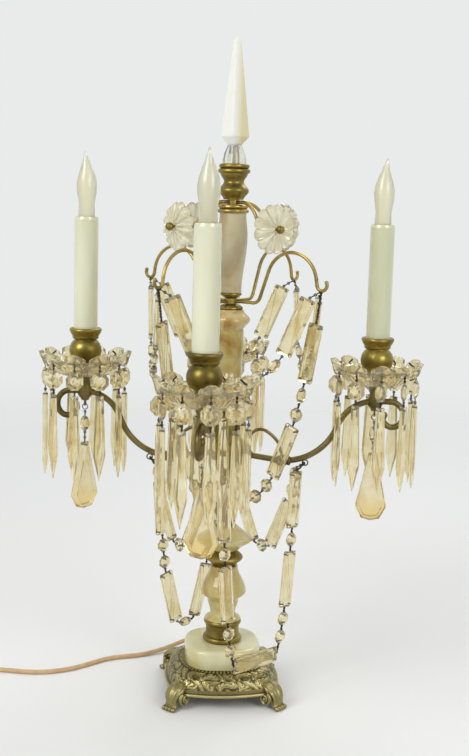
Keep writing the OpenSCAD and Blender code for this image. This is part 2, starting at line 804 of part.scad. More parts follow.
// The lampholder stands on the cup's floor, and its mouth is just under the sleeve's top
socket_recess = 6;
cap_hole = bulb_cap_d + 2 * 0.3;
cap_len = 18;
module lampholders() {
    color(plug_colour) for (k = [0:3]) at_candle(k)
        translate([0, 0, cup_rim_z(arm_reaches[k]) - sleeve_seat]) difference() {
            h = sleeve_seat + sleeve_show - socket_recess;
            cylinder(d = socket_d, h = h);
            translate([0, 0, h - cap_len]) cylinder(d = cap_hole, h = cap_len + 1);
        }
}

// Shares of a bulb's height at its collar, neck and belly
bulb_collar_at = 0.12;
bulb_neck_at = 0.24;
bulb_belly_at = 0.46;
bulb_foot_d = 17;
bulb_neck_d = 16.5;
bulb_tip_d = 3;
module bulb(k) {
    h = bulb_show + socket_recess - 0.5;
    color(frosted_glass) at_candle(k)
        translate([0, 0, sleeve_top(arm_reaches[k]) - socket_recess + 0.5]) {
            turned(concat(
                eased([[bulb_foot_d / 2 - 1, 0], [bulb_foot_d / 2 + 0.5, bulb_collar_at * h],
                    [bulb_neck_d / 2, bulb_neck_at * h], [bulb_d / 2, bulb_belly_at * h], [bulb_tip_d / 2, h - 1]]),
                [[0.5, h]]));
            translate([0, 0, 0.2 - cap_len]) cylinder(d = bulb_cap_d, h = cap_len);
        }
}

// Glass pieces of the strands, each hanging from its top at the origin down along -Z

pin_hole_d = 2;
pin_in = 3.6;
module pin_holes(len, t) {
    for (z = [-pin_in, pin_in - len])
        translate([0, 0, z]) rotate([90, 0, 0]) cylinder(d = pin_hole_d, h = 2 * t, center = true, $fn = 24);
}

bar_edge = 1.6;
bar_bevel = 3.5;
module bar() {
    w = bar_w / 2;
    t = bar_t / 2;
    difference() {
        translate([0, 0, -bar_len]) linear_extrude(bar_len)
            polygon([[-w, -bar_edge / 2], [bar_bevel - w, -t], [w - bar_bevel, -t], [w, -bar_edge / 2],
                [w, bar_edge / 2], [w - bar_bevel, t], [bar_bevel - w, t], [-w, bar_edge / 2]]);
        pin_holes(bar_len, bar_t);
    }
}

module bead(d = bead_d) {
    difference() {
        translate([0, 0, -d / 2]) rotate([90, 0, 0]) rotate(22.5)
            cylinder(d = d / cos(22.5), h = bead_t, center = true, $fn = 8);
        pin_holes(d, bead_t);
    }
}

module oval() {
    w = oval_w / 2;
    shoulder = oval_len / 4;
    difference() {
        rotate([90, 0, 0]) linear_extrude(bead_t, center = true)
            polygon([[-w / 2, 0], [w / 2, 0], [w, -shoulder], [w, shoulder - oval_len], [w / 2, -oval_len],
                [-w / 2, -oval_len], [-w, shoulder - oval_len], [-w, -shoulder]]);
        pin_holes(oval_len, bead_t);
    }
}

// Spear prism: an outline from the front cut by its outline from the side
prism_top_share = 0.62;
prism_widest_at = 0.68;
module leaf_outline(w, top_w, len, widest_at, depth) {
    rotate([90, 0, 0]) linear_extrude(depth, center = true)
        polygon([[-top_w / 2, 0], [top_w / 2, 0], [w / 2, -widest_at * len], [0, -len], [-w / 2, -widest_at * len]]);
}
module spear_prism() {
    difference() {
        intersection() {
            leaf_outline(prism_w, prism_top_share * prism_w, prism_len, prism_widest_at, 2 * prism_t);
            rotate(90) leaf_outline(prism_t, prism_t * prism_top_share, prism_len, prism_widest_at, 2 * prism_w);
        }
        translate([0, 0, -pin_in]) rotate([90, 0, 0]) cylinder(d = pin_hole_d, h = 2 * prism_t, center = true, $fn = 24);
    }
}

// Large drop: pear outline with a cut foot
drop_neck_share = 0.28;
drop_widest_at = 0.76;
drop_foot_at = 0.97;
drop_foot_share = 0.6;
drop_belt = 3;
module drop_outline(w, depth) {
    neck = drop_neck_share * w / 2;
    foot = drop_foot_share * w / 2;
    widest = drop_widest_at * drop_len;
    belt_end = widest + drop_belt;
    rotate([90, 0, 0]) linear_extrude(depth, center = true)
        polygon([[-neck, 0], [neck, 0], [w / 2, -widest], [w / 2, -belt_end], [foot, -drop_foot_at * drop_len],
            [0, -drop_len], [-foot, -drop_foot_at * drop_len], [-w / 2, -belt_end], [-w / 2, -widest]]);
}
module large_drop() {
    difference() {
        intersection() {
            drop_outline(drop_w, 2 * drop_t);
            rotate(90) drop_outline(drop_t, 2 * drop_w);
        }
        translate([0, 0, -pin_in]) rotate([90, 0, 0]) cylinder(d = pin_hole_d, h = drop_t, center = true, $fn = 24);
    }
}

module link(len, low_gap = link_gap, top_gap = link_gap) {
    translate([0, 0, low_gap - len]) cylinder(d = wire_d, h = len - top_gap - low_gap, $fn = 16);
}

// A long link ends beside the end of a piece that lies across it
long_link_len = 2 * link_len;
long_link_gap = 5.5;
// A bent link lies at a slant between two pieces, so it stays further off both
bent_link_gap = 1;
function piece_length(name) =
    name == "bar" ? bar_len : name == "oval" ? oval_len : name == "bead" ? bead_d
    : name == "long link" ? long_link_len : link_len;
module piece(name) {
    if (name == "bar") bar();
    if (name == "bead") bead();
    if (name == "oval") oval();
    if (name == "link") link(link_len);
    if (name == "long link") link(long_link_len, long_link_gap);
    if (name == "bent link") link(link_len, bent_link_gap, bent_link_gap);
}

// Fringes and pendalogues

fringe_lead = 11;
module fringe(k) {
    color(amber_glass) at_candle(k) translate([0, 0, bobeche_z(arm_reaches[k])])
        for (i = [0:lobes - 1])
            rotate((i + 0.5) * 360 / lobes) translate([strand_r, 0, strand_drop]) rotate(90) {
                link(fringe_lead);
                translate([0, 0, -fringe_lead]) {
                    bead(fringe_bead_d);
                    translate([0, 0, -fringe_bead_d]) link(link_len);
                    translate([0, 0, -fringe_bead_d - link_len]) spear_prism();
                }
            }
}

// The pendalogue's ring hangs through the eye of the boss, turned across it, and its drop faces the front
ring_slack = 0.3;
function pivot_z(reach) = boss_bottom(reach) - 2 * eye_r;
module pendalogue(k) {
    ring_r = eye_r;
    top = eye_wire / 2 + wire_d / 2 + ring_slack;
    color(amber_glass) at_candle(k) translate([0, 0, pivot_z(arm_reaches[k])]) {
        translate([0, 0, top - ring_r]) wire_ring(ring_r, wire_d);
        translate([0, 0, top - 2 * ring_r - wire_d / 2 - link_gap]) {
            link(link_len);
            translate([0, 0, -link_len]) oval();
            translate([0, 0, -link_len - oval_len]) link(long_link_len);
            translate([0, 0, -link_len - oval_len - long_link_len]) rotate(-arm_azimuths[k]) large_drop();
        }
    }
}

// Rosettes and hooks

module spider_ring(z) {
    translate([0, 0, z]) difference() {
        cylinder(d = spider_d, h = spider_t);
        translate([0, 0, -1]) cylinder(d = rod_hole, h = spider_t + 2);
    }
}

module hook_wires() {
    color(old_brass) {
        spider_ring(z_hook_spider);
        for (a = hook_azimuths)
            rotate(a) translate([spider_d / 2 - 1, 0, hook_wire_z])
                run(hook_out - spider_d / 2 + 1, bracket_d) bend(hook_elbow_r, hook_rise, bracket_d)
                    run(hook_stem, bracket_d) bend(hook_bend_r, -hook_rise - hook_fall, bracket_d)
                        run(hook_drop, bracket_d) bend(hook_r, hook_fall + hook_tip, bracket_d)
                            sphere(d = bracket_d + 0.4, $fn = 32);
    }
}

module at_rosette(k) {
    rotate(45 + 90 * k) translate([rosette_reach, 0, rosette_z]) rotate([0, 90, 0]) children();
}

module rosette_wires() {
    stud_len = rosette_reach + rosette_t + ball_nut_d / 2 - rosette_wire_end;
    color(old_brass) {
        spider_ring(z_rosette_spider);
        for (k = [0:3])
            rotate(45 + 90 * k) translate([spider_d / 2 - 1, 0, rosette_wire_z])
                run(rosette_out - spider_d / 2 + 1, bracket_d)
                    bend(rosette_fall_r, -rosette_sweep, bracket_d)
                        bend(rosette_level_r, rosette_sweep, bracket_d) rotate([0, 90, 0]) {
                            translate([0, 0, joint_gap])
                                cylinder(d = bracket_d, h = rosette_reach - rosette_wire_end - joint_gap);
                            cylinder(d = stud_d, h = stud_len);
                        }
    }
}

rosette_edge_t = 5;
petal_share = 0.98;
petal_ring_r = rosette_d / 2 / (1 + petal_share * sin(180 / petals));
petal_d = rosette_d - 2 * petal_ring_r;
module rosettes() {
    color(amber_glass) for (k = [0:3]) at_rosette(k) difference() {
        union() {
            for (i = [0:petals - 1])
                rotate(i * 360 / petals) translate([petal_ring_r, 0, 0])
                    cylinder(d = petal_d, h = rosette_edge_t, $fn = 32);
            turned([[petal_ring_r + 1, 0], [petal_ring_r + 1, rosette_edge_t], [ball_nut_d / 2, rosette_t]]);
        }
        translate([0, 0, -1]) cylinder(d = stud_d + 2 * fit, h = rosette_t + 2);
    }
}

module rosette_nuts() {
    color(brass) for (k = [0:3]) at_rosette(k) translate([0, 0, rosette_t]) difference() {
        intersection() {
            translate([0, 0, ball_nut_d / 2 - 0.5]) sphere(d = ball_nut_d);
            cylinder(d = 2 * ball_nut_d, h = ball_nut_d);
        }
        translate([0, 0, -1]) cylinder(d = stud_d + 2 * fit, h = ball_nut_d / 2 + 1 + fit);
    }
}

// Strands that hang in a curve
// Every piece takes the slope that the weight below it and one sideways pull give, so the curve is a real one.

// Pieces with a link after each
function threaded(items, last = "link") =
    [for (i = [0:2 * len(items) - 1]) i % 2 == 0 ? items[i / 2] : i == 2 * len(items) - 1 ? last : "link"];
function total(list, n) = n <= 0 ? 0 : list[n - 1] + total(list, n - 1);

// Slope of piece i below level, its own half and all pieces after it hanging on it with a level end piece
function slope(lengths, level_end, pull, i) =
    let (all = total(lengths, len(lengths)) + level_end, above = total(lengths, i) + lengths[i] / 2)
    atan((1 - above / all) / pull);
function span(lengths, level_end, pull, n) = n <= 0 ? 0
    : span(lengths, level_end, pull, n - 1) + lengths[n - 1] * cos(slope(lengths, level_end, pull, n - 1));
function fall(lengths, level_end, pull, n) = n <= 0 ? 0
    : fall(lengths, level_end, pull, n - 1) + lengths[n - 1] * sin(slope(lengths, level_end, pull, n - 1));

// The sideways pull at which the pieces reach over a width
function pull_for(lengths, level_end, width, low = 0.001, high = 20, steps = 40) =
    let (mid = (low + high) / 2)
    steps == 0 ? mid
        : span(lengths, level_end, mid, len(lengths)) > width
            ? pull_for(lengths, level_end, width, low, mid, steps - 1)
            : pull_for(lengths, level_end, width, mid, high, steps - 1);

// Wire from beside a hook, gap off, to the first piece of glass
module lead_wire(dx, dz, gap) {
    len = sqrt(dx * dx + dz * dz);
    rotate([0, 90 + atan2(dz, dx), 0]) translate([0, 0, gap])
        cylinder(d = wire_d, h = len - gap - slant_gap, $fn = 16);
}

module hanging_pieces(names, lengths, level_end, pull, first = 0) {
    for (i = [first:len(names) - 1])
        translate([span(lengths, level_end, pull, i), 0, -fall(lengths, level_end, pull, i)])
            rotate([0, slope(lengths, level_end, pull, i) - 90, 0]) piece(names[i]);
}

// Symmetric swag between two hooks: the half is drawn from each end, the level middle piece once
module swag(start, end, half_items, last_link, middle, gap) {
    across = end - start;
    width = norm(across);
    names = threaded(half_items, last_link);
    lengths = [for (name = names) piece_length(name)];
    level_end = piece_length(middle) / 2;
    pull = pull_for(lengths, level_end, width / 2 - swag_spread - level_end);
    color(amber_glass) translate(start) rotate(atan2(across[1], across[0])) {
        for (side = [0, 1])
            translate([side * width, 0, 0]) mirror([side, 0, 0]) {
                lead_wire(swag_spread, swag_fall, gap);
                translate([swag_spread, 0, -swag_fall]) hanging_pieces(names, lengths, level_end, pull);
            }
        translate([width / 2 - level_end, 0, -swag_fall - fall(lengths, level_end, pull, len(lengths))])
            rotate([0, -90, 0]) piece(middle);
    }
}

function polar(r, a, z) = [r * cos(a), r * sin(a), z];
function hook_point(k) = polar(hook_s, hook_azimuths[k % 4], hook_z);
function eye_point(k) = polar(swag_eye_reach, arm_azimuths[k % 4], eye_z(arm_reaches[k % 4]));

module upper_swag(k) {
    swag(hook_point(k), hook_point(k + 1), upper_swag_half, "link", "bead", (bracket_d + wire_d) / 2 + 2 * link_gap);
}
// A lower swag's wire starts within the reach of its eye, beside the eye's wire
eye_start_share = 0.97;
module lower_swag(k) {
    middle = lower_swag_middles[k];
    last_link = middle == "bar" ? "long link" : "bent link";
    swag(eye_point(k), eye_point(k + 1), lower_swag_halves[k], last_link, middle, eye_start_share * eye_r);
}

// Half of a swag, from a hook in to the bell knop
module long_strand(k) {
    names = concat(["lead"], threaded(long_strand_items));
    lengths = [for (name = names) name == "lead" ? strand_lead : piece_length(name)];
    pull = pull_for(lengths, 0, hook_s - spool_d / 2 - link_gap);
    clear = bracket_d / 2;
    color(amber_glass) rotate(hook_azimuths[k]) translate([hook_s, 0, hook_z]) rotate(180) {
        rotate([0, slope(lengths, 0, pull, 0) - 90, 0]) translate([0, 0, -clear]) link(strand_lead - clear);
        hanging_pieces(names, lengths, 0, pull, 1);
    }
}

// Lead

module cord_bush() {
    color(plug_colour) at_bush() {
        translate([0, 0, -base_wall]) cylinder(d = bush_d, h = base_wall + bush_flange_t);
        cylinder(d = bush_flange_d, h = bush_flange_t);
        translate([0, 0, bush_flange_t]) cylinder(d1 = bush_d, d2 = bush_tail_d, h = bush_taper);
    }
}

// Height of the lead's middle on the table, and of the coil's second layer
cord_z = cord_d / 2 + 0.1;
coil_pitch = cord_d + 0.45;
coil_z2 = cord_z + coil_pitch;

// The coil runs in and out at one steady rate, and climbs a layer in the half-turn where it reverses
coil_x = -306;
coil_y = -47;
coil_turns = 7.25;
coil_inner_r = 4 * cord_d;
coil_outer_r = coil_inner_r + coil_pitch * coil_turns / 2;
coil_rings = 24;
coil_sides = 6;
coil_tail = 36;
function coil_climb(t) = min(1, max(0, (t - coil_turns / 2 + 0.25) / 0.5));
function coil_point(t) =
    let (r = coil_inner_r + coil_pitch * abs(coil_turns / 2 - t), a = 90 + 360 * t)
    [coil_x + r * cos(a), coil_y + r * sin(a), cord_z + (coil_z2 - cord_z) * coil_climb(t)];
coil_start = [coil_x + cord_d, coil_y + coil_outer_r, cord_z];
coil_end = [coil_x - coil_outer_r, coil_y - coil_tail, coil_z2];
coil_path = concat([coil_start],
    [for (i = [0:coil_turns * coil_rings]) coil_point(i / coil_rings)],
    [for (i = [1:3]) coil_end + [0, coil_tail * (1 - i / 3), 0]]);

// Route of the lead from the bush over the table to the coil, by hand
bush_out = base_w / 2 - spot_face + bush_flange_t + bush_taper;
bush_end = [-bush_out * sin(base_turn), bush_out * cos(base_turn), bush_z];
bush_heading = [-sin(base_turn), cos(base_turn), 0];
cord_path = concat(
    [bush_end, bush_end + cord_d * bush_heading],
    [[-25, 99, 19], [-36, 107, 17], [-49, 109, 14], [-60, 105, 11], [-70, 98, 8], [-80, 90, 5.5],
        [-90, 82, 4], [-100, 74, 3], [-111, 67, cord_z], [-123, 61, cord_z], [-135, 55, cord_z],
        [-145, 47, cord_z], [-154, 36, cord_z], [-163, 25, cord_z], [-173, 14, cord_z], [-185, 5, cord_z],
        [-198, -2, cord_z], [-212, -6, cord_z]],
    [for (x = [-226:-14:-296]) [x, coil_start[1], cord_z]],
    [coil_start]);

// Tube of round section along a path, as rings joined by triangles
function heading(path, i) =
    let (a = path[max(0, i - 1)], b = path[min(len(path) - 1, i + 1)]) (b - a) / norm(b - a);
function across(dir) = let (c = cross(dir, [0, 0, 1])) c / norm(c);
function tube_points(path, d, sides) = [
    for (i = [0:len(path) - 1])
        let (dir = heading(path, i), side = across(dir), up = cross(side, dir))
        for (j = [0:sides - 1])
            path[i] + d / 2 * (cos(360 * j / sides) * side + sin(360 * j / sides) * up)];
function tube_faces(rings, sides) = concat(
    [[for (j = [0:sides - 1]) sides - 1 - j]],
    [for (i = [0:rings - 2], j = [0:sides - 1]) let (n = (j + 1) % sides)
        [i * sides + j, i * sides + n, (i + 1) * sides + n]],
    [for (i = [0:rings - 2], j = [0:sides - 1]) let (n = (j + 1) % sides)
        [i * sides + j, (i + 1) * sides + n, (i + 1) * sides + j]],
    [[for (j = [0:sides - 1]) (rings - 1) * sides + j]]);
module tube(path, d, sides) {
    polyhedron(points = tube_points(path, d, sides), faces = tube_faces(len(path), sides));
}

// Length of a path, and the least gap of the coil to itself half a turn or more on
function path_length(path) = total([for (i = [1:len(path) - 1]) norm(path[i] - path[i - 1])], len(path) - 1);
function least_gap(path) = min([
    for (i = [0:len(path) - 1], j = [i + coil_rings / 2:len(path) - 1]) norm(path[i] - path[j])]) - cord_d;

module cord_run() {
    color(lead_colour) tube(cord_path, cord_d, 8);
}
module cord_coil() {
    color(lead_colour) tube(coil_path, cord_d, coil_sides);
    echo(coil_least_gap = least_gap(coil_path), lead_length = path_length(cord_path) + path_length(coil_path));
}

plug_w = 25;
plug_h = 2 * coil_z2 - 0.4;
plug_corner = 4;
plug_neck = 14;
plug_neck_d = 12;
pin_gap = 12.7;
pin_w = 6.4;
pin_t = 1.5;
pin_len = 17;
module plug() {
    w = plug_w / 2;
    h = plug_h / 2;
    color(plug_colour) translate(coil_end) rotate([90, 0, 0]) {
        cylinder(d1 = cord_d + 2, d2 = plug_neck_d, h = plug_neck);
        translate([0, 0, plug_neck]) linear_extrude(plug_len)
            polygon([[-w, plug_corner - h], [plug_corner - w, -h], [w - plug_corner, -h], [w, plug_corner - h],
                [w, h - plug_corner], [w - plug_corner, h], [plug_corner - w, h], [-w, h - plug_corner]]);
        for (side = [-1, 1])
            translate([side * pin_gap / 2, 0, plug_neck + plug_len + pin_len / 2 - 1])
                cube([pin_t, pin_w, pin_len + 2], center = true);
    }
}

base_casting();
base_nut();
lamp_pipe();
onyx_foot();
foot_ring();
onyx_baluster();
ball_knop();
onyx_saucer();
bell_knop();
arm_hub();
threaded_rod();
onyx_shaft();
onyx_ring();
lower_collar();
onyx_vase();
top_collar();
crown_cap();
finial_foot();
finial_spear();
arm(0);  // arm_left
arm(1);  // arm_front
arm(2);  // arm_right
arm(3);  // arm_rear
bobeche(0);  // bobeche_left
bobeche(1);  // bobeche_front
bobeche(2);  // bobeche_right
bobeche(3);  // bobeche_rear
candle_cups();
candle_sleeves();
lampholders();
bulb(0);  // bulb_left
bulb(1);  // bulb_front
bulb(2);  // bulb_right
bulb(3);  // bulb_rear
fringe(0);  // fringe_left
fringe(1);  // fringe_front
fringe(2);  // fringe_right
fringe(3);  // fringe_rear
pendalogue(0);  // pendalogue_left
pendalogue(1);  // pendalogue_front
pendalogue(2);  // pendalogue_right
pendalogue(3);  // pendalogue_rear
hook_wires();
rosette_wires();
rosettes();
rosette_nuts();
upper_swag(0);  // upper_swag_rear
upper_swag(1);  // upper_swag_left
upper_swag(2);  // upper_swag_front
upper_swag(3);  // upper_swag_right
lower_swag(0);  // lower_swag_left_front
lower_swag(1);  // lower_swag_front_right
lower_swag(2);  // lower_swag_right_rear
lower_swag(3);  // lower_swag_rear_left
long_strand(2);  // long_strand_left
long_strand(3);  // long_strand_right
cord_bush();
cord_run();
cord_coil();
plug();
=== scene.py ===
"""Looks of an electrified girandole: brass and onyx column, candle arms, crystal fringes and swags.

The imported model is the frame: metres, +Z up, origin on the table under the middle of the base.
"""

from __future__ import annotations

import logging
from dataclasses import dataclass
from enum import Enum
from math import atan, atan2, cos, hypot, pi, radians, sin, sqrt

import bmesh
import bpy
from mathutils import Matrix, Vector


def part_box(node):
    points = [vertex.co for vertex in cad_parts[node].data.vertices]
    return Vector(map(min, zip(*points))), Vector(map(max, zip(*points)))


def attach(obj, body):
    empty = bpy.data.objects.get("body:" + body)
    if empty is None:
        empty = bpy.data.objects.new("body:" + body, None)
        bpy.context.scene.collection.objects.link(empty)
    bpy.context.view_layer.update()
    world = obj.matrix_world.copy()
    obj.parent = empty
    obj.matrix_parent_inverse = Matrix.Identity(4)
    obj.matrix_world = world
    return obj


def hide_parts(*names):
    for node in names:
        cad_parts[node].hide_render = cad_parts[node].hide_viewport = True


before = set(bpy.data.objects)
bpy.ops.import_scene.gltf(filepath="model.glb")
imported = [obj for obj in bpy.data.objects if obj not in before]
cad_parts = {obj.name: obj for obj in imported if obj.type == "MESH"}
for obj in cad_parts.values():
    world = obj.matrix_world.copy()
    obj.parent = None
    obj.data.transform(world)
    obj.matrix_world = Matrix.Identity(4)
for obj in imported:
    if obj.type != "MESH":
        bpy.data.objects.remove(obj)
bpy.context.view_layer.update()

log = logging.getLogger("girandole")
MM = 0.001
FULL_TURN = 2 * pi
MERGE = 0.01 * MM
BASE_TURN = radians(13)
# Numbers of the colour sockets of a mix node
MIX_FIRST, MIX_SECOND, MIX_RESULT = 6, 7, 2
Colour = tuple[float, float, float]
Place = tuple[float, float, float]
Point = tuple[float, float]
Shape = bmesh.types.BMesh
Socket = bpy.types.NodeSocket
Material = bpy.types.Material
Mesh = bpy.types.Mesh


def shift(x: float, y: float, z: float) -> Matrix:
    """Matrix that moves by a distance along each axis."""
    return Matrix.Translation((x, y, z))


def below(length: float) -> Matrix:
    """Matrix that moves straight down."""
    return shift(0, 0, -length)


def turn(angle: float, axis: str = "Z") -> Matrix:
    """Matrix that turns round an axis, in radians."""
    return Matrix.Rotation(angle, 4, axis)


def around(r: float, angle: float, z: float) -> Vector:
    """Point at a distance and angle round the Z axis."""
    return Vector((r * cos(angle), r * sin(angle), z))


def polar(point: Vector) -> Point:
    """Distance from the Z axis and angle round it."""
    return hypot(point.x, point.y), atan2(point.y, point.x)


def between(ends: Point, share: float) -> float:
    """Value at a share of the way between two ends."""
    return ends[0] + (ends[1] - ends[0]) * share


def in_scene(name: str, data: bpy.types.ID) -> bpy.types.Object:
    """New object of some data in the scene."""
    obj = bpy.data.objects.new(name, data)
    bpy.context.scene.collection.objects.link(obj)
    return obj


class Arm(Enum):
    """The four candle arms by the side they stand on, with azimuth in degrees and reach in metres."""

    LEFT = ("left", 180.0, 158 * MM)
    FRONT = ("front", 270.0, 158 * MM)
    RIGHT = ("right", 9.0, 158 * MM)
    REAR = ("rear", 99.0, 159.97 * MM)

    @property
    def side(self) -> str:
        """Word for the arm in node and body names."""
        return self.value[0]

    @property
    def azimuth(self) -> float:
        """Direction of the arm in radians."""
        return radians(self.value[1])

    def frame_at(self, z: float) -> Matrix:
        """Frame on the candle's axis at a height, +X outwards along the arm."""
        return turn(self.azimuth) @ shift(self.value[2], 0, z)


class Tree:
    """Node tree of a material or world, with a short call for adding nodes."""

    def __init__(self, owner: Material | bpy.types.World) -> None:
        """Open the tree."""
        owner.use_nodes = True
        self.nodes = owner.node_tree.nodes
        self.links = owner.node_tree.links

    def put(self, socket: Socket, value: Socket | float | tuple) -> None:
        """Join a source to an input socket, or set the socket's value."""
        if isinstance(value, Socket):
            self.links.new(value, socket)
        else:
            socket.default_value = value

    def add(self, kind: str, output: str | int, values: dict, **settings: str) -> Socket:
        """Add a node and fill its inputs.

        Args:
            kind: Type of the node without the prefix that all share.
            output: Name or number of the output to return.
            values: Value or source of each input, by name or number.
            settings: Properties of the node.

        Returns:
            The output socket.
        """
        node = self.nodes.new("ShaderNode" + kind)
        for name, value in settings.items():
            setattr(node, name, value)
        for key, value in values.items():
            self.put(node.inputs[key], value)
        return node.outputs[output]


class Nodes(Tree):
    """A material's node tree round one principled shader."""

    def __init__(self, name: str) -> None:
        """Start the material under its name."""
        self.material = bpy.data.materials.new(name)
        super().__init__(self.material)
        self.shader = self.nodes["Principled BSDF"]
        self.coords = self.add("TexCoord", "Object", {})

    def set(self, **values: Socket | float | tuple) -> None:
        """Set or join shader sockets by their names with underscores for spaces."""
        for key, value in values.items():
            self.put(self.shader.inputs[key.replace("_", " ")], value)

    def noise(
        self, scale: float, detail: float = 4.0, distortion: float = 0.0, stretch: Place = (1, 1, 1)
    ) -> Socket:
        """Noise on object coordinates.

        Args:
            scale: Waves per metre.
            detail: Octaves.
            distortion: How far the noise bends itself.
            stretch: Factor along X, Y and Z.

        Returns:
            The value socket.
        """
        vector = self.add("Mapping", "Vector", {"Scale": stretch, "Vector": self.coords})
        values = {"Scale": scale, "Detail": detail, "Distortion": distortion, "Vector": vector}
        return self.add("TexNoise", "Fac", values)

    def ramp(self, value: Socket, stops: list[tuple[float, Colour]]) -> Socket:
        """Colours over a value, by place and colour of each stop in rising order."""
        output = self.add("ValToRGB", "Color", {"Fac": value})
        elements = output.node.color_ramp.elements
        while len(elements) < len(stops):
            elements.new(1.0)
        for element, (place, colour) in zip(elements, stops):
            element.position = place
            element.color = (*colour, 1.0)
        return output

    def spread(self, value: Socket, low: float, high: float) -> Socket:
        """Map a value from 0..1 to a range."""
        return self.add("MapRange", "Result", {"Value": value, "To Min": low, "To Max": high})

    def times(self, a: Socket, b: Socket) -> Socket:
        """Product of two values."""
        return self.add("Math", "Value", {0: a, 1: b}, operation="MULTIPLY")

    def level(self, first: float, second: float, axis: str = "Z") -> Socket:
        """Value that goes from 0 to 1 between two levels along an axis."""
        height = self.add("SeparateXYZ", axis, {"Vector": self.coords})
        return self.add("MapRange", "Result", {"Value": height, "From Min": first, "From Max": second})

    def nearness(self, near: float, far: float) -> Socket:
        """Value that falls from 1 to 0 between two distances from the origin."""
        distance = self.add("VectorMath", "Value", {0: self.coords}, operation="LENGTH")
        values = {"Value": distance, "From Min": far, "From Max": near}
        return self.add("MapRange", "Result", values, interpolation_type="SMOOTHSTEP")

    def painted(self, name: str) -> Socket:
        """Value that a mesh keeps at its points under a name."""
        return self.add("Attribute", "Fac", {}, attribute_name=name)

    def blend(self, value: Socket, first: Socket, second: Colour) -> Socket:
        """Colour that goes from a socket's to a fixed one over a value."""
        values = {0: value, MIX_FIRST: first, MIX_SECOND: (*second, 1.0)}
        return self.add("Mix", MIX_RESULT, values, data_type="RGBA")

    def bump(self, height: Socket, strength: float, distance: float) -> None:
        """Raise the surface by a value, with the effect's share and its height in metres."""
        values = {"Height": height, "Strength": strength, "Distance": distance}
        self.set(Normal=self.add("Bump", "Normal", values))


@dataclass(frozen=True)
class OldBrass:
    """Brass that has dulled, with brighter worn patches."""

    name: str
    worn: Colour = (0.32, 0.245, 0.06)
    dull: Colour = (0.12, 0.09, 0.024)
    patch: float = 38.0
    grain: float = 260.0
    relief: float = 0.12

    def material(self) -> Material:
        """The finish as a material."""
        nodes = Nodes(self.name)
        patches = nodes.noise(self.patch, detail=6.0, distortion=0.4)
        colour = nodes.ramp(patches, [(0.32, self.dull), (0.62, self.worn)])
        nodes.set(Base_Color=colour, Roughness=nodes.spread(patches, 0.46, 0.2), Metallic=1.0)
        nodes.bump(nodes.noise(self.grain, detail=3.0), self.relief, 0.6 * MM)
        return nodes.material


@dataclass(frozen=True)
class ChasedCasting:
    """Cast brass chased with leaves: bright where hands rub it and where highlights are painted on ridges,
    rim and flutes; dark in the hollows from patina and painted shade.
    """

    name: str
    bright: Colour = (0.47, 0.41, 0.2)
    middle: Colour = (0.2, 0.165, 0.065)
    dark: Colour = (0.06, 0.048, 0.018)
    grain: float = 260.0
    roughness: float = 0.36

    def material(self) -> Material:
        """The finish as a material."""
        nodes = Nodes(self.name)
        grain = nodes.noise(self.grain, detail=5.0, distortion=1.6)
        # The mesh's "worn" value carries rubbing and patina together with painted highlights on ridges, rim
        # and flutes and painted shade in the hollows and the groove.
        wear_and_light = nodes.times(nodes.painted("worn"), nodes.spread(grain, 0.6, 1.35))
        colour = nodes.ramp(wear_and_light, [(0.12, self.dark), (0.42, self.middle), (0.85, self.bright)])
        nodes.set(Base_Color=colour, Metallic=1.0, Roughness=self.roughness)
        nodes.bump(grain, 0.35, 0.8 * MM)
        return nodes.material


@dataclass(frozen=True)
class Onyx:
    """Polished onyx, pale with warm clouds and rusty spots."""

    name: str
    light: Colour = (0.57, 0.5, 0.24)
    pale: Colour = (0.5, 0.42, 0.16)
    warm: Colour = (0.41, 0.28, 0.06)
    rust: Colour = (0.28, 0.13, 0.025)
    cloud: float = 22.0

    def material(self) -> Material:
        """The finish as a material."""
        nodes = Nodes(self.name)
        clouds = nodes.noise(self.cloud, detail=7.0, distortion=1.3, stretch=(1, 1, 0.7))
        stops = [(0.3, self.light), (0.47, self.pale), (0.6, self.warm), (0.72, self.rust)]
        nodes.set(Base_Color=nodes.ramp(clouds, stops), Roughness=0.2, Coat_Weight=0.4, Coat_Roughness=0.08)
        nodes.set(Subsurface_Weight=0.12, Subsurface_Radius=(0.006, 0.005, 0.003))
        nodes.bump(nodes.noise(90.0, detail=2.0), 0.03, 0.4 * MM)
        return nodes.material


@dataclass(frozen=True)
class CutGlass:
    """Old cut glass: tinted, with faint clouds, specks of grime and a colour that comes in between two
    levels.
    """

    name: str
    tint: Colour = (0.96, 0.89, 0.63)
    grime: Colour = (0.8, 0.63, 0.28)
    clearness: float = 0.86
    level_tint: Colour = (0.93, 0.7, 0.25)
    level_tint_span: Point | None = None
    level_tint_axis: str = "Z"

    def material(self) -> Material:
        """The finish as a material."""
        nodes = Nodes(self.name)
        film = nodes.noise(70.0, detail=6.0, distortion=0.5)
        colour = nodes.ramp(film, [(0.4, self.tint), (0.75, self.grime)])
        # A colour between two levels along an axis: a painted reflection on the spear's right face, amber
        # towards the drops' low ends.
        if self.level_tint_span is not None:
            colour = nodes.blend(nodes.level(*self.level_tint_span, self.level_tint_axis), colour, self.level_tint)
        nodes.set(Base_Color=colour, Roughness=nodes.spread(film, 0.0, 0.14))
        nodes.set(Transmission_Weight=self.clearness, IOR=1.5)
        nodes.bump(nodes.noise(120.0, detail=2.0), 0.06, 0.5 * MM)
        return nodes.material


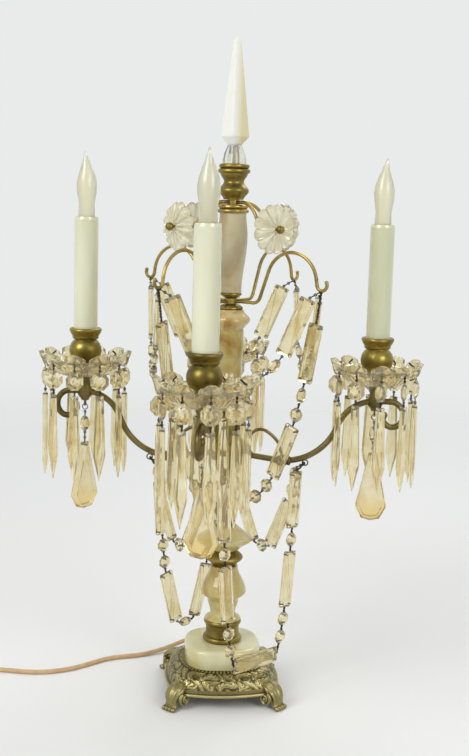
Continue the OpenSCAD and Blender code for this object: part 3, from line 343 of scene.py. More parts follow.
@dataclass(frozen=True)
class PaleGlass:
    """Milk glass or frosted glass, with faint upright stripes of painted reflection and a rim between two
    levels.
    """

    name: str
    light: Colour
    shade: Colour
    roughness: float
    clearness: float = 0.0
    rim: Point | None = None
    rim_colour: Colour = (0.7, 0.66, 0.44)
    coat: float = 0.35
    coat_roughness: float = 0.12

    def material(self) -> Material:
        """The finish as a material."""
        nodes = Nodes(self.name)
        # Upright stripes between the light and shade colours: painted reflections of the soft lamps.
        reflection_streaks = nodes.noise(30.0, detail=3.0, stretch=(1, 1, 0.15))
        colour = nodes.ramp(reflection_streaks, [(0.35, self.light), (0.7, self.shade)])
        if self.rim is not None:
            colour = nodes.blend(nodes.level(*self.rim), colour, self.rim_colour)
        nodes.set(Base_Color=colour, Roughness=self.roughness, Transmission_Weight=self.clearness)
        nodes.set(Coat_Weight=self.coat, Coat_Roughness=self.coat_roughness)
        nodes.bump(nodes.noise(400.0, detail=2.0), 0.03, 0.2 * MM)
        return nodes.material


@dataclass(frozen=True)
class Moulding:
    """Moulded plastic, woven cover or thin wire, with a fine grain."""

    name: str
    light: Colour
    dark: Colour
    roughness: float = 0.5
    metallic: float = 0.0

    def material(self) -> Material:
        """The finish as a material."""
        nodes = Nodes(self.name)
        mottle = nodes.noise(120.0, detail=5.0)
        colour = nodes.ramp(mottle, [(0.35, self.light), (0.7, self.dark)])
        nodes.set(Base_Color=colour, Roughness=self.roughness, Metallic=self.metallic)
        nodes.bump(nodes.noise(900.0, detail=2.0), 0.08, 0.2 * MM)
        return nodes.material


class Palette:
    """All finishes of the lamp as materials."""

    def __init__(self) -> None:
        """Make each material once."""
        # The drops turn amber towards their low ends, fading out 30 mm up.
        drop_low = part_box("pendalogue_left")[0][2]
        drop_amber_span = (drop_low + 30 * MM, drop_low + 2 * MM)
        self.brass = OldBrass("old_brass").material()
        self.bright_brass = OldBrass("bright_brass", (0.45, 0.33, 0.1), (0.2, 0.15, 0.05)).material()
        self.dark_brass = OldBrass("dark_brass", (0.21, 0.165, 0.06), (0.085, 0.067, 0.026)).material()
        self.casting = ChasedCasting("chased_casting").material()
        self.onyx = Onyx("onyx").material()
        self.pale_onyx = Onyx(
            "pale_onyx", (0.71, 0.69, 0.45), (0.66, 0.63, 0.37), (0.61, 0.52, 0.22), (0.5, 0.36, 0.12), 14.0
        ).material()
        self.vase_onyx = Onyx(
            "vase_onyx", (0.62, 0.56, 0.37), (0.53, 0.46, 0.28), (0.43, 0.33, 0.17), (0.3, 0.18, 0.08), 20.0
        ).material()
        self.amber_onyx = Onyx(
            "amber_onyx", pale=(0.55, 0.41, 0.15), warm=(0.42, 0.25, 0.06), cloud=45.0
        ).material()
        self.glass = CutGlass("champagne_glass").material()
        # The spear's right face turns golden from 1 to 8 mm along X: a painted reflection.
        spear_tints = (1.0, 0.995, 0.95), (0.98, 0.96, 0.87)
        self.spear_glass = CutGlass(
            "clear_glass", *spear_tints, 0.12, (0.8, 0.72, 0.44), (1 * MM, 8 * MM), "X"
        ).material()
        self.drop_glass = CutGlass("drop_glass", level_tint_span=drop_amber_span).material()
        self.foot_glass = CutGlass("foot_glass", (0.98, 0.97, 0.9), (0.9, 0.87, 0.75)).material()
        self.rosette_glass = CutGlass("rosette_glass", (0.95, 0.92, 0.75), (0.82, 0.72, 0.47), 0.6).material()
        self.milk = PaleGlass(
            "milk_glass",
            (0.76, 0.755, 0.56),
            (0.56, 0.57, 0.37),
            0.16,
            rim=(512.5 * MM, 514.5 * MM),
            coat=1.0,
            coat_roughness=0.05,
        ).material()
        self.frosted = PaleGlass(
            "frosted_bulb", (1.0, 0.99, 0.88), (0.985, 0.95, 0.76), 0.28, 0.86
        ).material()
        self.wire = Moulding("dark_wire", (0.06, 0.05, 0.045), (0.02, 0.018, 0.016), 0.4, 0.8).material()
        self.lead = Moulding("lead_cover", (0.62, 0.43, 0.22), (0.5, 0.33, 0.16), 0.45).material()
        self.black = Moulding("black_moulding", (0.03, 0.028, 0.026), (0.015, 0.014, 0.013), 0.45).material()
        self.tie = Moulding("paper_tie", (0.7, 0.68, 0.62), (0.6, 0.58, 0.5), 0.7).material()


class Piece:
    """One finished mesh object, gathered from operator-made shapes."""

    def __init__(self, name: str) -> None:
        """Start an empty piece under its name."""
        self.name = name
        self.bm = bmesh.new()

    def add(self, shape: Mesh, place: Matrix) -> None:
        """Copy a shape's mesh into the piece at its place."""
        first = len(self.bm.verts)
        self.bm.from_mesh(shape)
        self.bm.verts.ensure_lookup_table()
        bmesh.ops.transform(self.bm, matrix=place, verts=self.bm.verts[first:])

    def finish(
        self, material: Material, body: str, slot: str, replaces: tuple[str, ...] = ()
    ) -> bpy.types.Object:
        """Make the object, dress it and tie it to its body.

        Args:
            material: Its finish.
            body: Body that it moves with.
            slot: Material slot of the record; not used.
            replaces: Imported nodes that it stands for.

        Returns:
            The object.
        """
        mesh = bpy.data.meshes.new(self.name)
        self.bm.to_mesh(mesh)
        self.bm.free()
        mesh.materials.append(material)
        obj = in_scene(self.name, mesh)
        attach(obj, body)
        if replaces:
            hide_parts(*replaces)
        log.info("%s: %d faces", self.name, len(mesh.polygons))
        return obj


def as_mesh(bm: Shape, name: str, sharp: float | None = None) -> Mesh:
    """Turn a shape into a mesh with its normals outwards.

    Args:
        bm: The shape, freed here.
        name: Name of the mesh.
        sharp: Angle in degrees over which an edge stays sharp, or None for flat facets.

    Returns:
        The mesh.
    """
    bmesh.ops.remove_doubles(bm, verts=bm.verts, dist=MERGE)
    bmesh.ops.recalc_face_normals(bm, faces=bm.faces)
    if sharp is not None:
        limit = radians(sharp)
        for face in bm.faces:
            face.smooth = True
        for edge in bm.edges:
            edge.smooth = len(edge.link_faces) == 2 and edge.calc_face_angle() < limit
    mesh = bpy.data.meshes.new(name)
    bm.to_mesh(mesh)
    bm.free()
    return mesh


def spun(bm: Shape, axis: tuple[int, int, int], steps: int) -> Shape:
    """Spin all of a shape once round an axis through the origin."""
    geom = bm.verts[:] + bm.edges[:]
    bmesh.ops.spin(bm, geom=geom, cent=(0, 0, 0), axis=axis, angle=FULL_TURN, steps=steps, use_merge=True)
    return bm


def turned(outline: list[Point], steps: int) -> Shape:
    """Spin an outline of radius and height round the Z axis."""
    bm = bmesh.new()
    verts = [bm.verts.new((r, 0, z)) for r, z in outline]
    for pair in zip(verts, verts[1:]):
        bm.edges.new(pair)
    spun(bm, (0, 0, 1), steps)
    bmesh.ops.remove_doubles(bm, verts=bm.verts, dist=MERGE)
    return bm


def arc(centre: Point, size: Point, start: float, sweep: float, steps: int) -> list[Point]:
    """Points on part of an oval.

    Args:
        centre: Its middle.
        size: Its two half widths.
        start: Angle of the first point in degrees, from the outward direction.
        sweep: Degrees to the last point.
        steps: Parts between the points.

    Returns:
        The points.
    """
    angles = [radians(start + sweep * k / steps) for k in range(steps + 1)]
    return [(centre[0] + size[0] * cos(a), centre[1] + size[1] * sin(a)) for a in angles]


def move_grown(bm: Shape, grown: dict, step: Vector) -> None:
    """Move what an extrusion has grown."""
    verts = [item for item in grown["geom"] if isinstance(item, bmesh.types.BMVert)]
    bmesh.ops.translate(bm, vec=step, verts=verts)
    bmesh.ops.recalc_face_normals(bm, faces=bm.faces)


def cut_slab(outline: list[Point], edge: float, cuts: list[Point]) -> Shape:
    """A flat piece of cut glass: an outline in XZ with bevelled tables in front and behind.

    Args:
        outline: Points of X and Z round the piece.
        edge: Thickness at the rim.
        cuts: Width and rise of each bevel, from the rim inwards.

    Returns:
        The shape.
    """
    bm = bmesh.new()
    front = bm.faces.new([bm.verts.new((x, -edge / 2, z)) for x, z in outline])
    move_grown(bm, bmesh.ops.extrude_face_region(bm, geom=[front]), Vector((0, edge, 0)))
    tables = [face for face in bm.faces if abs(face.normal.y) > 0.9]
    for width, rise in cuts:
        for table in tables:
            bmesh.ops.inset_region(bm, faces=[table], thickness=width, depth=rise, use_even_offset=True)
    return bm


def cornered(corners: int, half_w: float, half_h: float, middle: float) -> list[Point]:
    """Outline with even corners round a middle below the origin."""
    angles = [pi * (2 * k + 1) / corners for k in range(corners)]
    return [(half_w * sin(a), half_h * cos(a) - middle) for a in angles]


def rod(bm: Shape, radius: float, length: float, place: Matrix) -> None:
    """Add a six-sided rod along a frame's Z axis, with its middle at the frame's origin."""
    bmesh.ops.create_cone(
        bm, cap_ends=True, segments=6, radius1=radius, radius2=radius, depth=length, matrix=place
    )


def lofted(sections: list[list[Vector]]) -> Shape:
    """Skin over closed sections with as many points each, capped at both ends."""
    bm = bmesh.new()
    loops = []
    for section in sections:
        verts = [bm.verts.new(point) for point in section]
        loops.append([bm.edges.new((a, b)) for a, b in zip(verts, verts[1:] + verts[:1])])
    for first, second in zip(loops, loops[1:]):
        bmesh.ops.bridge_loops(bm, edges=first + second)
    for loop in (loops[0], loops[-1]):
        bmesh.ops.contextual_create(bm, geom=loop)
    return bm


@dataclass(frozen=True)
class Cut:
    """One kind of glass drop, hanging from the origin down along -Z, and where its pins go through."""

    mesh: Mesh
    length: float
    pins: tuple[Point, ...]
    thick: float


@dataclass
class GlassCutter:
    """Makes each kind of glass drop once, and the wire's eyes, rings and pins."""

    palette: Palette
    bead_d: float = 14 * MM
    fringe_bead_d: float = 19 * MM
    bead_t: float = 7 * MM
    oval_len: float = 17 * MM
    oval_w: float = 10.5 * MM
    bar_len: float = 62 * MM
    bar_w: float = 17 * MM
    bar_t: float = 5.5 * MM
    bar_corner: float = 1.2 * MM
    bar_bevel: float = 3.4 * MM
    prism_len: float = 92 * MM
    prism_w: float = 14 * MM
    prism_t: float = 6 * MM
    drop_len: float = 75 * MM
    drop_w: float = 33 * MM
    drop_t: float = 15 * MM
    drop_side: float = 3 * MM
    rim: float = 1.6 * MM
    wire_r: float = 0.5 * MM
    eye_r: float = 1.3 * MM
    ring_r: float = 3 * MM
    pin_r: float = 0.95 * MM
    pin_in: float = 3.6 * MM

    def __post_init__(self) -> None:
        """Cut every kind."""
        side = 0.3 * self.bar_w
        self.bead = self.cut(self.octagon(self.bead_d), self.bead_d, 0.72 * self.bead_t)
        self.fringe_bead = self.cut(self.octagon(self.fringe_bead_d), self.fringe_bead_d, 0.66 * self.bead_t)
        self.oval = self.cut(self.long_bead(), self.oval_len, 0.72 * self.bead_t)
        self.bar = self.cut(self.flat_bar(), self.bar_len, 0.9 * self.bar_t, sides=(-side, side))
        self.prism = self.cut(self.spear(), self.prism_len, 0.75 * self.prism_t, ends=1)
        self.drop = self.cut(self.pear(), self.drop_len, 0.5 * self.drop_t, ends=1)
        self.eye = self.wire_ring(self.eye_r, 8)
        self.ring = self.wire_ring(self.ring_r, 20)
        pin = bmesh.new()
        rod(pin, self.pin_r, 1.0, turn(pi / 2, "X"))
        self.pin = as_mesh(pin, "pin", sharp=40)

    def cut(
        self, shape: Shape, length: float, thick: float, sides: tuple[float, ...] = (0,), ends: int = 2
    ) -> Cut:
        """One kind of glass and the places of its pins.

        Args:
            shape: The glass.
            length: From its top to its low end.
            thick: Thickness where its pins are.
            sides: Places of the pins across it.
            ends: 1 for pins at the top only, 2 for pins at both ends.

        Returns:
            The kind.
        """
        levels = (-self.pin_in, self.pin_in - length)[:ends]
        pins = tuple((x, z) for z in levels for x in sides)
        return Cut(as_mesh(shape, "glass"), length, pins, thick)

    def rise(self, thick: float) -> float:
        """Height of a cut face over the rim, on one side of the glass."""
        return (thick - self.rim) / 2

    def octagon(self, size: float) -> Shape:
        """Octagon bead with a small table in front and behind."""
        r = size / 2 / cos(pi / 8)
        rise = self.rise(self.bead_t)
        bevels = [(0.2 * size, 0.72 * rise), (0.12 * size, 0.28 * rise)]
        return cut_slab(cornered(8, r, r, size / 2), self.rim, bevels)

    def long_bead(self) -> Shape:
        """Long bead with twelve corners."""
        half, bevel, rise = self.oval_len / 2, 0.17 * self.oval_w, self.rise(self.bead_t)
        outline = cornered(12, self.oval_w / 2, half, half)
        return cut_slab(outline, self.rim, [(bevel, 0.6 * rise), (bevel, 0.4 * rise)])

    def flat_bar(self) -> Shape:
        """Flat bar with a wide bevel all round."""
        w, corner, low = self.bar_w / 2, self.bar_corner, -self.bar_len
        outline = [(corner - w, 0), (w - corner, 0), (w, -corner), (w, corner + low)]
        outline += [(w - corner, low), (corner - w, low), (-w, corner + low), (-w, -corner)]
        return cut_slab(outline, self.rim, [(self.bar_bevel, self.rise(self.bar_t))])

    def spear(self) -> Shape:
        """Spear of the fringe, widest low down, with a ridge in front and behind."""
        top, w, low = 0.3 * self.prism_w, self.prism_w / 2, -0.7 * self.prism_len
        outline = [(-top, 0), (top, 0), (w, low), (0, -self.prism_len), (-w, low)]
        return cut_slab(outline, self.rim, [(0.27 * self.prism_w, self.rise(self.prism_t))])

    def pear(self) -> Shape:
        """Large pear drop of the arm's end with a cut foot."""
        w, tall, rise = self.drop_w / 2, self.drop_len, self.rise(self.drop_t)
        widest = -0.76 * tall
        right = [(0.28 * w, 0), (0.62 * w, 0.5 * widest), (w, widest), (w, widest - self.drop_side)]
        right += [(0.6 * w, -0.97 * tall)]
        left = [(-x, z) for x, z in reversed(right)]
        bevels = [(0.11 * self.drop_w, 0.6 * rise), (0.02 * self.drop_w, 0.15 * rise)]
        return cut_slab(right + [(0, -tall)] + left, self.rim, bevels)

    def wire_ring(self, radius: float, steps: int) -> Mesh:
        """Wire ring round the Y axis, by the radius of its middle line."""
        bm = bmesh.new()
        section = bmesh.ops.create_circle(bm, segments=5, radius=self.wire_r)["verts"]
        bmesh.ops.translate(bm, verts=section, vec=(radius, 0, 0))
        return as_mesh(spun(bm, (0, 1, 0), steps), "wire_ring", sharp=60)


@dataclass
class Strand:
    """Glass and wire of one strand, gathered into two pieces."""

    name: str
    cutter: GlassCutter
    pin_out: float = 0.5 * MM
    wire_end: float = 0.3 * MM
    eye_step: float = 3.2 * MM

    def __post_init__(self) -> None:
        """Start both pieces."""
        self.glass = Piece(self.name + "_glass")
        self.wire = Piece(self.name + "_wire")

    def hang(self, cut: Cut, place: Matrix) -> None:
        """Add a piece of glass with its pins, by the frame at its top."""
        self.glass.add(cut.mesh, place)
        for x, z in cut.pins:
            self.peg(place @ shift(x, 0, z), cut.thick + self.pin_out)

    def peg(self, place: Matrix, length: float) -> None:
        """Add a pin along the Y axis of the frame at its middle."""
        self.wire.add(self.cutter.pin, place @ Matrix.Diagonal((1, length, 1, 1)))

    def link(self, place: Matrix, length: float) -> None:
        """Add a link of wire with eyes all along it, by the frame at its top."""
        bm = bmesh.new()
        rod(bm, self.cutter.wire_r, length - 2 * self.wire_end, below(length / 2))
        self.wire.add(as_mesh(bm, "link", sharp=40), place)
        eyes = max(2, round(length / self.eye_step))
        for k in range(eyes):
            eye = below(length * (k + 0.5) / eyes) @ turn(pi / 2 * (k % 2))
            self.wire.add(self.cutter.eye, place @ eye)

    def lower(self, place: Matrix, *items: float | tuple[Cut, float]) -> None:
        """Hang links and glass straight below each other.

        Args:
            place: Frame at the top.
            items: Length of each link, or kind and turn of each piece of glass, from the top down.
        """
        for item in items:
            if isinstance(item, float):
                self.link(place, item)
                place = place @ below(item)
            else:
                cut, angle = item
                self.hang(cut, place @ turn(angle))
                place = place @ below(cut.length)

    def finish(self, body: str, glass: Material | None = None) -> None:
        """Dress both pieces and tie them to a body, with a finish for glass that isn't the common one."""
        palette = self.cutter.palette
        self.glass.finish(glass or palette.glass, body, "tinted_crystal", (self.name,))
        self.wire.finish(palette.wire, body, "old_brass")


@dataclass
class Catenary:
    """Slopes that a string of pieces takes under its own weight, from a hook to a level end piece."""

    lengths: list[float]
    level_end: float
    width: float
    pulls: Point = (0.001, 20.0)
    tries: int = 40

    def __post_init__(self) -> None:
        """Find the sideways pull at which the pieces reach over the width."""
        low, high = self.pulls
        for _ in range(self.tries):
            self.pull = (low + high) / 2
            if self.span(len(self.lengths)) > self.width:
                high = self.pull
            else:
                low = self.pull

    def slope(self, i: int) -> float:
        """Slope of piece i below level, in radians."""
        whole = sum(self.lengths) + self.level_end
        above = sum(self.lengths[:i]) + self.lengths[i] / 2
        return atan((1 - above / whole) / self.pull)

    def span(self, count: int) -> float:
        """How far the first pieces reach sideways."""
        return sum(self.lengths[i] * cos(self.slope(i)) for i in range(count))

    def fall(self, count: int) -> float:
        """How far the first pieces reach down."""
        return sum(self.lengths[i] * sin(self.slope(i)) for i in range(count))

    def place(self, i: int) -> Matrix:
        """Frame at the top of piece i in the strand's plane, +X towards its middle."""
        return shift(self.span(i), 0, -self.fall(i)) @ turn(self.slope(i) - pi / 2, "Y")


@dataclass
class Swags:
    """Crystal strands: upper ones between hooks, lower ones between arms, two long ones to the column."""

    cutter: GlassCutter
    hook_reach: float = 115.328 * MM
    hook_z: float = 450.026 * MM
    hook_azimuths: tuple[float, ...] = (60.0, 150.0, 240.0, 330.0)
    eye_reach: float = 85 * MM
    eye_z: tuple[float, ...] = (258.41 * MM, 258.41 * MM, 258.41 * MM, 257.376 * MM)
    spread: float = 13 * MM
    drop: float = 8 * MM
    link: float = 6 * MM
    long_link: float = 12 * MM
    strand_lead: float = 34 * MM
    knop_r: float = 10.45 * MM
    upper_half: tuple[str, ...] = ("bar", "oval", "bead")
    lower_halves: tuple[tuple[str, ...], ...] = (
        ("bead", "bar"),
        ("bar", "bead", "bar", "bead", "bead"),
        ("bead", "bead", "bar"),
        ("bead", "bar", "bead", "bead", "bar"),
    )
    lower_middles: tuple[str, ...] = ("bead", "bar", "bead", "oval")
    long_items: tuple[str, ...] = ("bar", "oval", "bead", "bar", "bead", "bead", "bead")

    def cut(self, name: str) -> Cut:
        """Kind of glass by its name."""
        return {"bead": self.cutter.bead, "oval": self.cutter.oval, "bar": self.cutter.bar}[name]

    def hook(self, k: int) -> Vector:
        """Lowest place of hook k."""
        return around(self.hook_reach, radians(self.hook_azimuths[k % 4]), self.hook_z)

    def eye(self, k: int) -> Vector:
        """Swag eye under arm k."""
        return around(self.eye_reach, list(Arm)[k % 4].azimuth, self.eye_z[k % 4])

    def swag(self, name: str, ends: tuple[Vector, Vector], half: tuple[str, ...], middle: str) -> None:
        """Hang one symmetric strand between two points.

        Args:
            name: Name of the strand's node.
            ends: The two hooks.
            half: Glass from a hook to the middle piece.
            middle: The level piece in the middle.
        """
        strand = Strand(name, self.cutter)
        across = ends[1] - ends[0]
        width = across.length
        base = Matrix.Translation(ends[0]) @ turn(atan2(across.y, across.x))
        level_end = self.cut(middle).length / 2
        lengths = [length for item in half for length in (self.cut(item).length, self.link)]
        lengths[-1] = self.long_link if middle == "bar" else self.link
        curve = Catenary(lengths, level_end, width / 2 - self.spread - level_end)
        lead = turn(atan2(self.drop, self.spread) - pi / 2, "Y")
        for side in (base, base @ shift(width, 0, 0) @ turn(pi)):
            start = side @ shift(self.spread, 0, -self.drop)
            strand.link(side @ lead, hypot(self.spread, self.drop))
            for i, item in enumerate(half):
                strand.hang(self.cut(item), start @ curve.place(2 * i))
                strand.link(start @ curve.place(2 * i + 1), lengths[2 * i + 1])
        low = -self.drop - curve.fall(len(lengths))
        level = shift(width / 2 - level_end, 0, low) @ turn(-pi / 2, "Y")
        strand.hang(self.cut(middle), base @ level)
        strand.finish(name)

    def long_strand(self, name: str, k: int) -> None:
        """Hang the strand of a name from hook k in to the column."""
        strand = Strand(name, self.cutter)
        lengths = [self.strand_lead]
        for item in self.long_items:
            lengths += [self.cut(item).length, self.link]
        curve = Catenary(lengths, 0.0, self.hook_reach - self.knop_r)
        base = Matrix.Translation(self.hook(k)) @ turn(radians(self.hook_azimuths[k]) + pi)
        strand.link(base @ curve.place(0), self.strand_lead)
        for i, item in enumerate(self.long_items):
            strand.hang(self.cut(item), base @ curve.place(2 * i + 1))
            strand.link(base @ curve.place(2 * i + 2), self.link)
        strand.finish(name)

    def build(self) -> None:
        """Hang all strands."""
        for k, side in enumerate(("rear", "left", "front", "right")):
            self.swag(f"upper_swag_{side}", (self.hook(k), self.hook(k + 1)), self.upper_half, "bead")
        for k, side in enumerate(("left_front", "front_right", "right_rear", "rear_left")):
            ends = (self.eye(k), self.eye(k + 1))
            self.swag(f"lower_swag_{side}", ends, self.lower_halves[k], self.lower_middles[k])
        for k, side in ((2, "left"), (3, "right")):
            self.long_strand(f"long_strand_{side}", k)


@dataclass
class CandleLight:
    """One arm's light: glass dish, fringe, pendalogue and bulb."""

    arm: Arm
    cutter: GlassCutter
    lobes: int = 10
    lobe_steps: int = 20
    lobe_rows: int = 10
    lobe_ring_r: float = 41 * MM
    lobe_r: float = 8 * MM
    lobe_low: float = -6 * MM
    lobe_dip: float = 0.35
    dip_slope: float = 0.25
    lobe_bulge: float = 2.2 * MM
    lobe_lean: float = radians(40)
    lobe_z: float = 17.3 * MM
    glass_t: float = 4.4 * MM
    lobe_pin_out: float = 2.4 * MM
    bowl_r: float = 32 * MM
    bowl_foot_r: float = 22 * MM
    bowl_h: float = 12 * MM
    stem_r: float = 5 * MM
    ribs: int = 40
    rib_depth: float = 0.6 * MM
    strand_r: float = 42.92 * MM
    strand_z: float = 15.04 * MM
    twist: float = radians(50)
    fringe_lead: float = 11 * MM
    link: float = 6 * MM
    long_link: float = 12 * MM
    ring_fall: float = 7.65 * MM
    left_drop_turn: float = radians(48)
    bulb_bend: float = 2.2 * MM
    bend_from: float = 0.6
    bulb_wall: float = 0.7 * MM
    axis_r: float = 0.02 * MM
    # Share of the flame's height and radius in millimetres
    flame: tuple[Point, ...] = (
        (0.0, 8.0), (0.05, 8.6), (0.14, 8.9), (0.24, 8.3), (0.34, 9.4), (0.44, 10.8), (0.52, 10.9),
        (0.62, 9.8), (0.72, 7.4), (0.81, 4.9), (0.89, 2.9), (0.95, 1.7), (0.985, 0.9), (1.0, 0.02),
    )
    cap_h: float = 17.8 * MM
    cap_foot_r: float = 4 * MM
    cap_top_r: float = 5.6 * MM
    thread_r: Point = (5.2 * MM, 5.8 * MM)
    thread_z: float = 2 * MM
    thread_step: float = 1.7 * MM
    thread_rows: int = 9

    def __post_init__(self) -> None:
        """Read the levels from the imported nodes."""
        side = self.arm.side
        self.palette = self.cutter.palette
        self.dish_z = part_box(f"bobeche_{side}")[0][2]
        self.bulb_low, self.bulb_top = (corner[2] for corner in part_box(f"bulb_{side}"))
        self.pendalogue_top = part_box(f"pendalogue_{side}")[1][2]

    def build(self) -> None:
        """Make and dress the pieces."""
        self.dish()
        self.fringe()
        self.pendalogue()
        self.bulb()

    def lobe_reach(self, angle: float) -> float:
        """How far the rim reaches beyond the ring of lobes at an angle round the candle."""
        step = FULL_TURN / self.lobes
        off = abs((angle / step) % 1 - 0.5) * step * self.lobe_ring_r / self.lobe_r
        if off < 1:
            return self.lobe_r * ((1 + self.lobe_dip) * sqrt(1 - off * off) - self.lobe_dip)
        return -self.lobe_r * (self.lobe_dip + self.dip_slope * (off - 1))

    def dish(self) -> None:
        """Ribbed glass dish with upturned round lobes."""
        lean_r, lean_z = sin(self.lobe_lean), cos(self.lobe_lean)
        low, ring_r = self.lobe_low, self.lobe_ring_r
        start_r = ring_r + low * lean_r
        middle_r = 0.5 * (self.bowl_foot_r + self.bowl_r)
        outline = [(self.stem_r, 0), (0.7 * self.bowl_foot_r, 0), (self.bowl_foot_r, 0.025 * self.bowl_h)]
        outline += [(middle_r, 0.2 * self.bowl_h), (self.bowl_r, 0.55 * self.bowl_h)]
        for k in range(self.lobe_rows):
            u = between((low, self.lobe_r), k / (self.lobe_rows - 1))
            outline.append((ring_r + u * lean_r, self.lobe_z + u * lean_z))
        bm = turned(outline, self.lobes * self.lobe_steps)
        for vert in bm.verts:
            r, angle = polar(vert.co)
            if r >= start_r - MERGE:
                share = ((r - ring_r) / lean_r - low) / (self.lobe_r - low)
                u = between((low, self.lobe_reach(angle)), share)
                bulge = self.lobe_bulge * sin(pi * share) * (u > -0.3 * self.lobe_r)
                new_r = ring_r + u * lean_r + bulge * lean_z
                vert.co = around(new_r, angle, self.lobe_z + u * lean_z - bulge * lean_r)
            else:
                wave = 0.5 + 0.5 * cos(self.ribs * angle)
                deep = self.rib_depth * max(0.0, r / self.bowl_r - 0.5) * 2
                vert.co = around(r - deep * wave, angle, vert.co.z)
        bmesh.ops.recalc_face_normals(bm, faces=bm.faces)
        bmesh.ops.solidify(bm, geom=bm.faces[:], thickness=-self.glass_t)
        piece = Piece(f"bobeche_{self.arm.side}_dish")
        piece.add(as_mesh(bm, "dish", sharp=50), self.arm.frame_at(self.dish_z))
        piece.finish(self.palette.glass, "stand", "tinted_crystal", (f"bobeche_{self.arm.side}",))

    def fringe(self) -> None:
        """Strands of bead and spear under the lobes; the beads' turns are uneven, but always the same."""
        strand = Strand(f"fringe_{self.arm.side}", self.cutter)
        quarter = turn(pi / 2)
        for k in range(self.lobes):
            dish = self.arm.frame_at(self.dish_z) @ turn(FULL_TURN * (k + 0.5) / self.lobes)
            lobe = dish @ shift(self.lobe_ring_r, 0, self.lobe_z) @ turn(self.lobe_lean, "Y")
            strand.peg(lobe @ quarter, self.glass_t + self.lobe_pin_out)
            twist = self.twist * sin(7.3 * k + 2.1 * self.arm.azimuth)
            top = dish @ shift(self.strand_r, 0, self.strand_z) @ quarter
            bead, prism = (self.cutter.fringe_bead, twist), (self.cutter.prism, 0.0)
            strand.lower(top, self.fringe_lead, bead, self.link, prism)
        strand.finish("stand")

    def pendalogue(self) -> None:
        """Ring, long bead and large drop under the arm's boss; the left drop is turned from the front."""
        name = f"pendalogue_{self.arm.side}"
        strand = Strand(name, self.cutter)
        top = self.arm.frame_at(self.pendalogue_top)
        strand.wire.add(self.cutter.ring, top @ below(1.2 * self.cutter.ring_r))
        face = self.left_drop_turn if self.arm is Arm.LEFT else 0.0
        oval, drop = (self.cutter.oval, 0.0), (self.cutter.drop, face - self.arm.azimuth)
        strand.lower(top @ below(self.ring_fall), self.link, oval, self.long_link, drop)
        strand.finish(name, self.palette.drop_glass)

    def bulb(self) -> None:
        """Frosted flame bulb with a tip that leans a little, on a screw cap."""
        name = f"bulb_{self.arm.side}"
        wall, axis, cap = self.bulb_wall, self.axis_r, self.cap_h
        tall = self.bulb_top - self.bulb_low - cap
        outside = [(r * MM, share * tall) for share, r in self.flame]
        inside = [(r - wall, max(wall, z)) for r, z in reversed(outside) if r > 2 * wall]
        outline = [(axis, 0.0), *outside, (axis, inside[0][1] + wall), *inside, (axis, wall), (axis, 0.0)]
        bm = turned(outline, 40)
        for vert in bm.verts:
            share = max(0.0, vert.co.z / tall - self.bend_from) / (1 - self.bend_from)
            vert.co.x += self.bulb_bend * share * share
        glass = Piece(name + "_glass")
        glass.add(as_mesh(bm, "flame", sharp=50), self.arm.frame_at(self.bulb_low + cap))
        glass.finish(self.palette.frosted, name, "frosted_glass", (name,))
        screw = Piece(name + "_cap")
        thread = [(axis, 0.0), (self.cap_foot_r, 0.0)]
        for k in range(self.thread_rows):
            thread.append((self.thread_r[k % 2], self.thread_z + self.thread_step * k))
        thread += [(self.cap_top_r, cap), (axis, cap)]
        screw.add(as_mesh(turned(thread, 24), "cap", sharp=60), self.arm.frame_at(self.bulb_low))
        screw.finish(self.palette.bright_brass, name, "old_brass")


@dataclass
class Rosettes:
    """Four fluted glass daisies on the upper wires."""

    palette: Palette
    radius: float = 25.5 * MM
    petals: int = 12
    rows: int = 7
    edge_t: float = 5 * MM
    thick: float = 9.5 * MM
    crown: float = 3.2 * MM
    dimple: float = 1.5 * MM
    notch: float = 0.1
    front_groove: float = 3.4 * MM
    back_groove: float = 1.2 * MM
    bore_r: float = 1.9 * MM
    back: float = 66 * MM
    z: float = 509.5 * MM

    def daisy(self) -> Shape:
        """One daisy round the Z axis, its back at the origin."""
        shares = [k / self.rows for k in range(1, self.rows)]
        steps = [(between((self.bore_r, self.radius), share), share) for share in shares]
        outline = [(self.bore_r, 0.0), *((r, 0.0) for r, _ in steps), (self.radius, 0.5 * self.edge_t)]
        outline += [(r, self.thick - self.crown * share**2.2) for r, share in reversed(steps)]
        outline += [(self.bore_r, self.thick - self.dimple), (self.bore_r, 0.0)]
        bm = turned(outline, self.petals * 10)
        for vert in bm.verts:
            r, angle = polar(vert.co)
            share, sink = r / self.radius, 0.0
            valley = 1 - abs(sin(self.petals * angle / 2)) ** 0.6
            if r > 1.05 * self.bore_r:
                front = vert.co.z > 0.3 * self.thick
                sink = valley * (self.front_groove * share**0.5 if front else -self.back_groove * share)
            vert.co = around(r * (1 - self.notch * valley * share**4), angle, vert.co.z - sink)
        return bm

    def build(self) -> None:
        """Make and dress the four."""
        piece = Piece("rosettes_glass")
        shape = as_mesh(self.daisy(), "daisy", sharp=60)
        for k in range(4):
            face = shift(self.back, 0, self.z) @ turn(pi / 2, "Y")
            piece.add(shape, turn(radians(45 + 90 * k)) @ face)
        piece.finish(self.palette.rosette_glass, "stand", "tinted_crystal", ("rosettes",))


